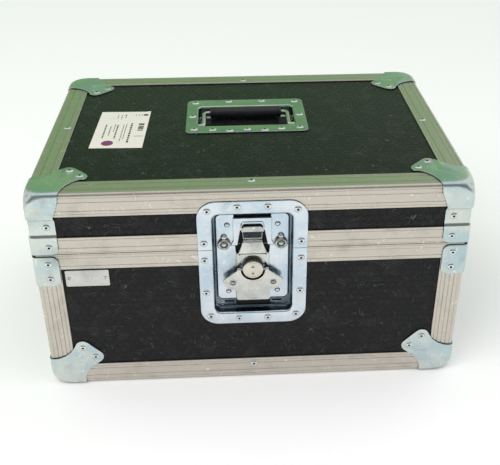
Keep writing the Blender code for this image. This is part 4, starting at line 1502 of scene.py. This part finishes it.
    def build_hook(self) -> None:
        """Soften the hook, cover it with its bent trapezoid and lay a black strip of painted shadow under the
        cover.
        """
        bm = node_mesh("latch_hook")
        soften(bm, 0.35)
        make_piece(bm, "latch_hook_bent_plate", LATCH_ZINC, "hook", ["latch_hook"])
        rows = [(11.1, 8.6, 5.1), (11.3, 7.6, 4.2), (11.8, 6.0, 3.95), (14.9, -6.6, 3.6), (15.3, -8.2, 3.55)]
        shares, turned_edge = (-1, -0.94, 0.94, 1), 0.5
        bm = bmesh.new()
        verts = [[bm.verts.new(self.place(s * x, z, d + (turned_edge if abs(s) == 1 else 0.0)))
                  for s in shares] for x, z, d in rows]
        for lower, upper in zip(verts[1:], verts):
            for i in range(3):
                bm.faces.new((lower[i], lower[i + 1], upper[i + 1], upper[i]))
        face_towards(bm, AHEAD)
        thicken(bm, 0.9)
        soften(bm, 0.25, 40.0)
        make_piece(bm, "latch_hook_cover", LATCH_ZINC, "hook")
        # A black strip under the cover's lower edge is painted shadow.
        line = [(-16.6, -10.6), (-15.2, -8.3), (15.2, -8.3), (16.6, -10.6), (15.9, -11.0), (14.7, -9.5),
                (-14.7, -9.5), (-15.9, -11.0)]
        make_piece(self.plate(line[::-1], (4.15, 4.45)), "latch_hook_fold_gap", SHADOW_BLACK, "hook")

    def build_hook_lip(self) -> None:
        """Roll the lip over the hook's head, with its root before the keeper and a dark plate of painted
        shade in the throat under it.
        """
        lip = [(13.0, 21.6), (12.9, 23.6), (12.1, 26.2), (10.6, 28.0), (8.8, 28.7)]
        bm = self.plate([*lip, *[(-x, z) for x, z in reversed(lip)]], (2.6, 4.5))
        soften(bm, 0.8, 50.0, 3)
        make_piece(bm, "latch_hook_lip", LATCH_ZINC, "hook")
        root = [(12.9, 25.0), (11.6, 32.4), (-11.6, 32.4), (-12.9, 25.0)]
        make_piece(self.plate(root, (self.keeper_face - 0.9, self.keeper_face - 0.3)), "latch_hook_lip_root",
                   DISH_ZINC, "hook")
        # A dark plate behind the lip: painted shade in the hook's throat.
        shade = [(10.4, 10.6), (11.2, 19.4), (-11.2, 19.4), (-10.4, 10.6)]
        make_piece(self.plate(shade, (7.75, 8.2)), "latch_hook_throat_shade", THROAT_SHADE_ZINC, "hook")

    def build_cam(self) -> None:
        """Turn the cam's face with its two dimples, the ribbed drum behind it and the cross pin."""
        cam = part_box("latch_cam")
        centre = Vector((0.0, cam[0].y, (cam[0].z + cam[1].z) / 2))
        face = [(0.0, 0.05), (9.0, 0.05), (9.6, 0.25), (10.1, 0.0), (11.0, 0.0), (11.7, 0.35), (12.0, 1.0),
                (12.0, 2.2), (11.3, 2.4), (0.0, 2.4)]
        dimple = [(0.0, -1.0), (2.4, -1.0), (1.9, 0.5), (0.9, 1.1), (0.0, 1.1)]
        cutters = [turned(dimple, centre + Vector((0, 0, s * 4.5 * MM)), -AHEAD, 20) for s in (-1, 1)]
        bm = bore(turned(face, centre, -AHEAD, 48), cutters)
        make_piece(bm, "latch_cam_face", CAM_FACE, "cam", ["latch_cam"], 30.0)
        ribs, outer, inner = 30, 11.9, 11.0
        height = (centre.z - self.case.parting) / MM
        outline = []
        for i in range(ribs):
            for share, radius in ((0.0, outer), (0.30, outer), (0.5, inner), (0.8, inner)):
                turn = math.tau * (i + share) / ribs
                outline.append((radius * math.cos(turn), height + radius * math.sin(turn)))
        drum = self.plate(outline, ((cam[0].y - self.face) / MM + 2.3, (cam[1].y - self.face) / MM))
        soften(drum, 0.12, 30.0, 1)
        make_piece(drum, "latch_cam_drum", CAM_BRASS, "cam")
        pin = drill(centre + Vector((0, 2.0 * MM, 0)), Vector((1, 0, 0)), 1.2, 2 * cam[1].x / MM, 20)
        soften(pin, 0.3)
        make_piece(pin, "latch_cross_pin", LATCH_ZINC, "cam")

    def build_wing(self) -> None:
        """Soften the wing, punch and collar its two holes, and lean its tab outwards."""
        wing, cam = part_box("latch_wing"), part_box("latch_cam")
        middle = (cam[0].z + cam[1].z) / 2
        across, down = self.wing_hole
        holes = [Vector((s * across * MM, wing[0].y, middle - down * MM)) for s in (-1, 1)]
        drills = [drill(hole, -AHEAD, self.wing_hole_radius, 12.0) for hole in holes]
        bm = bore(node_mesh("latch_wing"), drills)
        bmesh.ops.remove_doubles(bm, verts=bm.verts, dist=MERGE)
        tips = [e for e in bm.edges if min(abs(v.co.x) for v in e.verts) > 0.9 * wing[1].x
                and len(e.link_faces) == 2 and e.calc_face_angle(0.0) > 0.3
                and abs(e.verts[0].co.y - e.verts[1].co.y) > 0.9 * e.calc_length()]
        round_edges(bm, tips, 2.0, 4)
        soften(bm, 0.4, segments=3)
        for vert in bm.verts:
            fall = min(max((middle - self.tab_bend * MM - vert.co.z) / (self.tab_reach * MM), 0.0), 1.0)
            vert.co.y -= self.tab_lean * MM * fall ** 1.3
        make_piece(bm, "latch_wing_plate", LATCH_ZINC, "wing", ["latch_wing"])
        collar = [(3.3, 0.9), (3.35, 0.1), (3.6, -0.35), (4.1, -0.40), (4.4, -0.1), (4.4, 0.3)]
        for hole, side in zip(holes, ("left", "right")):
            ring = turned(collar, hole + Vector((0, 0.05 * MM, 0)), -AHEAD, 28)
            face_towards(ring, AHEAD)
            make_piece(ring, f"latch_wing_collar_{side}", LATCH_ZINC, "wing", smooth=50.0)


@dataclass
class Handle:
    """Recessed lid handle: riveted dish, folding bail and rubber grip, in millimetres."""

    case: CaseFrame
    steel: float = 1.2
    flange_radius: float = 8.0
    well_half: Point = (63.0, 31.2)
    mat_half: Point = (58.0, 25.0)
    rod: float = 3.55
    grip_round: float = 1.3
    rivet_places: tuple[Point, ...] = (
        (-67.6, 43.5), (67.6, 43.5), (-22.4, 47.5), (22.4, 47.5), (-70.5, -1.5), (70.5, -1.5), (-67.6, -42.0),
        (67.6, -42.0), (-44.0, -44.2), (44.0, -44.2), (-22.3, -48.0), (22.3, -48.0), (0.0, -45.0))

    def __post_init__(self) -> None:
        """Read the flange's height and middle from the frame."""
        self.low, self.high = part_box("handle_dish")
        self.middle = (self.low.y + self.high.y) / 2

    def build(self) -> None:
        """Press the dish, then dress the bail and turn the grip."""
        self.build_dish()
        make_piece(node_mesh("handle_bail"), "handle_bail_rod", LATCH_ZINC, "handle",
                   ["handle_bail"], 60.0)
        self.build_grip()
        seats = [(self.place(x, y, 0.0), UP) for x, y in self.rivet_places]
        Rivet(4.9, 1.6).set_in("handle_rivets", seats, "lid")

    def place(self, x: float, y: float, depth: float) -> Vector:
        """A point by its X, its Y from the dish's middle and its depth below the flange's face."""
        return Vector((x * MM, self.middle + y * MM, self.high.z - depth * MM))

    def build_dish(self) -> None:
        """Press the dish and lay the dark mat in it."""
        depth = (self.high.z - self.low.z) / MM - self.steel
        flange_half = (self.high.x / MM, (self.high.y - self.low.y) / 2 / MM)
        section = PressedDish(flange_half, (0.0, 0.0), self.flange_radius, self.well_half, (0.0, 0.0), 6.0,
                              depth, roll=2.6)
        bm = sheet_from_loops(section.loops(), self.place)
        face_towards(bm, UP)
        thicken(bm, self.steel)
        make_piece(bm, "handle_dish_pressing", HANDLE_ZINC, "lid", ["handle_dish"], 40.0)
        mat = slab(rounded_outline(self.mat_half, (0.0, 1.5), 3.0, 5), (depth - 0.9, depth - 0.1), self.place)
        soften(mat, 0.25)
        make_piece(mat, "handle_well_mat", WELL_BLACK, "lid")

    def build_grip(self) -> None:
        """Turn the grip with rounded ends, two end grooves and its bore."""
        low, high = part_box("handle_grip")
        half, radius = (high.x - low.x) / 2 / MM, (high.y - low.y) / 2 / MM
        end, waist = self.grip_round, radius - 0.5
        side = [(self.rod, 0.0), (radius - end, 0.0), (radius - 0.3 * end, 0.3 * end), (radius, end),
                (radius, 4.0), (waist, 4.3), (waist, 4.9), (radius, 5.2)]
        profile = [(r, h - half) for r, h in side] + [(r, half - h) for r, h in reversed(side)]
        bm = turned([*profile, (self.rod, -half)], (low + high) / 2, Vector((1, 0, 0)), 40)
        make_piece(bm, "handle_grip_sleeve", RUBBER, "handle", ["handle_grip"], 50.0)


@dataclass
class Labels:
    """Paper label on the lid and the riveted aluminium name plate on the front, in millimetres.

    Each column of print is its place across, where it starts and ends along, its thickness and its dash.
    """

    case: CaseFrame
    centre: Point = (-160.8, -5.9)
    half: Point = (32.5, 55.25)
    turn: float = math.radians(-1.7)
    lift: float = 0.12
    paper: float = 0.09
    ink_lift: float = 0.18
    dot_place: Point = (-12.0, -41.5)
    dot_radius: float = 7.4
    columns: tuple[tuple[float, float, float, float, float], ...] = (
        (27.0, 47.0, 42.0, 6.0, 9.0), (24.5, 17.0, 6.5, 7.0, 9.0), (24.5, 5.2, -5.0, 7.0, 9.0),
        (12.0, 18.0, -40.0, 2.4, 5.6), (5.5, 17.0, -30.0, 1.0, 3.4), (2.0, 14.0, -36.0, 1.0, 3.0),
        (-5.5, 13.0, -28.0, 1.8, 5.0), (-9.0, 15.0, -8.0, 1.0, 3.0), (-14.0, 10.0, -20.0, 1.2, 2.6),
        (-20.5, 14.0, -27.0, 1.8, 4.4), (-9.0, 46.0, 33.0, 0.9, 4.6), (-4.0, 46.0, 31.0, 0.9, 3.6),
        (1.0, 46.0, 36.0, 1.4, 9.0), (14.0, 46.0, 42.0, 0.9, 3.0), (18.5, 46.5, 41.0, 0.9, 4.0),
        (22.0, 46.0, 42.5, 1.4, 3.0))

    def build(self) -> None:
        """Lay the label with its print, then the name plate."""
        self.build_paper()
        self.build_print()
        self.build_name_plate()

    def place(self, a: float, b: float, lift: float) -> Vector:
        """A point on the label, from its middle, across and along."""
        x = a * math.cos(self.turn) - b * math.sin(self.turn)
        y = a * math.sin(self.turn) + b * math.cos(self.turn)
        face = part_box("lid_top_panel")[1].z
        return Vector(((self.centre[0] + x) * MM, (self.centre[1] + y) * MM, face + lift * MM))

    def build_paper(self) -> None:
        """Cut the label with one lifted corner and a slight wave."""
        bm = bmesh.new()
        bmesh.ops.create_grid(bm, x_segments=26, y_segments=44, size=1.0)
        for vert in bm.verts:
            a, b = vert.co.x * self.half[0], vert.co.y * self.half[1]
            curl = max(0.0, (vert.co.x + vert.co.y) - 1.78) * 3.0
            wave = 0.03 * math.sin(0.095 * a) * math.cos(0.070 * b)
            vert.co = self.place(a, b, self.lift + curl + wave)
        face_towards(bm, UP)
        thicken(bm, self.paper)
        make_piece(bm, "lid_paper_label", PAPER, "lid")

    def build_print(self) -> None:
        """Print plain bars of no meaning, and a coloured dot."""
        bm = bmesh.new()
        bars = [(24.0, -21.5, 12.0, 1.2)]
        for across, start, end, thick, dash in self.columns:
            at, count = start, 0
            while at > end + 0.5:
                length = min(dash * (0.55 + 0.15 * (count * 3 % 4)), at - end)
                bars.append((across, at - length / 2, thick, length))
                at, count = at - length - 0.22 * dash - 0.4, count + 1
        for across, along, wide, long in bars:
            bar = rounded_outline((wide / 2, long / 2), (across, along), 0.2, 2)
            bm.faces.new([bm.verts.new(self.place(a, b, self.ink_lift)) for a, b in bar])
        face_towards(bm, UP)
        make_piece(bm, "lid_label_print", INK, "lid")
        dot = bmesh.new()
        bmesh.ops.create_circle(dot, cap_ends=True, segments=40, radius=self.dot_radius * MM)
        bmesh.ops.translate(dot, verts=dot.verts, vec=self.place(*self.dot_place, self.ink_lift + 0.03))
        face_towards(dot, UP)
        make_piece(dot, "lid_label_dot", PURPLE_INK, "lid")

    def build_name_plate(self) -> None:
        """Round the blank plate and rivet it at both ends."""
        low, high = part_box("name_plate")
        bm = node_mesh("name_plate")
        round_edges(bm, [e for e in bm.edges
                         if abs((e.verts[0].co - e.verts[1].co).normalized().y) > 0.9], 1.5, 4)
        soften(bm, 0.25, 50.0)
        make_piece(bm, "name_plate_blank", PLATE_ALUMINIUM, "base", ["name_plate"])
        middle = (low.z + high.z) / 2
        places = [(Vector((x, low.y, middle)), AHEAD) for x in (low.x + 4.0 * MM, high.x - 4.6 * MM)]
        Rivet(2.6, 1.0, 0.8, 12).set_in("name_plate_rivets", places, "base")


# ---- studio
@dataclass
class Studio:
    """Pale floor, soft lights, the surround that the metal reflects, and the camera."""

    floor_half: float = 6.0
    camera_place: tuple[float, float, float] = (-0.0257, -0.92725, 0.6876)
    camera_turn: tuple[float, float, float] = (60.0998, 0.0559, -3.1283)
    lens: float = 56.24
    shift: Point = (-0.0314, -0.0616)

    def build(self) -> None:
        """Make the floor, the lights, the surround and the camera."""
        self.lay_floor()
        self.light("key_softbox", (-1.1, -1.2, 1.9), 1.5, 22.0, (1.0, 0.985, 0.96))
        self.light("fill_softbox", (1.6, -0.9, 1.1), 1.2, 5.0, (0.92, 0.97, 1.0))
        self.paint_surround()
        self.set_camera()
        bpy.context.scene.view_settings.view_transform = "Standard"
        LOG.info("studio: floor, lights and camera")

    def lay_floor(self) -> None:
        """Lay the plain pale floor under the case."""
        bm = bmesh.new()
        bmesh.ops.create_grid(bm, x_segments=2, y_segments=2, size=self.floor_half)
        bmesh.ops.translate(bm, verts=bm.verts, vec=(0.0, 0.0, CAD_BOX[0].z))
        mesh = bpy.data.meshes.new("floor")
        bm.to_mesh(mesh)
        bm.free()
        paint = bpy.data.materials.new("pale_floor")
        paint.use_nodes = True
        shader = paint.node_tree.nodes["Principled BSDF"]
        shader.inputs["Base Color"].default_value = (0.93, 0.93, 0.93, 1.0)
        shader.inputs["Roughness"].default_value = 0.9
        shader.inputs["Specular IOR Level"].default_value = 0.1
        shader.inputs["Emission Color"].default_value = (1.0, 1.0, 1.0, 1.0)
        shader.inputs["Emission Strength"].default_value = 0.14
        mesh.materials.append(paint)
        floor = bpy.data.objects.new("floor", mesh)
        bpy.context.scene.collection.objects.link(floor)

    def light(self, name: str, place: tuple[float, float, float], size: float, power: float,
              colour: Colour) -> None:
        """Hang a square soft light aimed at the case.

        Args:
            name: the light's name.
            place: its place.
            size: its side.
            power: its power in watts.
            colour: its colour.
        """
        data = bpy.data.lights.new(name, "AREA")
        data.shape, data.size, data.energy, data.color = "SQUARE", size, power, colour
        lamp = bpy.data.objects.new(name, data)
        lamp.location = place
        aim = Vector((0.0, 0.0, 0.15)) - Vector(place)
        lamp.rotation_euler = aim.to_track_quat("-Z", "Y").to_euler()
        lamp.visible_glossy = False
        bpy.context.scene.collection.objects.link(lamp)

    def paint_surround(self) -> None:
        """Paint a pale room with a green wall behind and a dim band in front for the metal to reflect."""
        world = bpy.context.scene.world or bpy.data.worlds.new("surround")
        bpy.context.scene.world = world
        world.use_nodes = True
        r = Recipe(world.node_tree)
        towards = r.vector("NORMALIZE", r.add("ShaderNodeTexCoord").outputs["Generated"]).outputs[0]
        parts = r.add("ShaderNodeSeparateXYZ", {0: towards}).outputs
        behind = r.span(r.vector("DOT_PRODUCT", towards, (-0.20, 0.86, 0.47)).outputs["Value"], 0.64, 0.95)
        band = r.times(r.span(parts["Z"], 0.90, 0.66), r.span(parts["Z"], -0.25, 0.02))
        ahead = r.times(band, r.span(parts["Y"], 0.1, -0.6))
        base = r.mix(r.span(parts["Z"], -0.2, 0.9), (0.86, 0.88, 0.90), (1.0, 1.0, 1.0))
        base = r.mix(r.times(ahead, 0.82), base, (0.10, 0.11, 0.12))
        base = r.mix(r.times(behind, 0.90), base, (0.22, 0.45, 0.18))
        back = world.node_tree.nodes["Background"]
        world.node_tree.links.new(base, back.inputs["Color"])
        back.inputs["Strength"].default_value = 1.0

    def set_camera(self) -> None:
        """Set the camera at the viewing angle."""
        data = bpy.data.cameras.new("view_camera")
        data.lens, data.shift_x, data.shift_y = self.lens, *self.shift
        camera = bpy.data.objects.new("view_camera", data)
        camera.location = self.camera_place
        camera.rotation_euler = tuple(math.radians(a) for a in self.camera_turn)
        bpy.context.scene.collection.objects.link(camera)
        bpy.context.scene.camera = camera


def main() -> None:
    """Build each sub-assembly in order, then the studio."""
    logging.basicConfig(level=logging.INFO, format="%(name)s: %(message)s")
    case = CaseFrame.from_nodes()
    for assembly in (Extrusions(case), Shell(case), Fixings(case), Latch(case), Handle(case), Labels(case)):
        assembly.build()
    Studio().build()


if __name__ == "__main__":
    main()
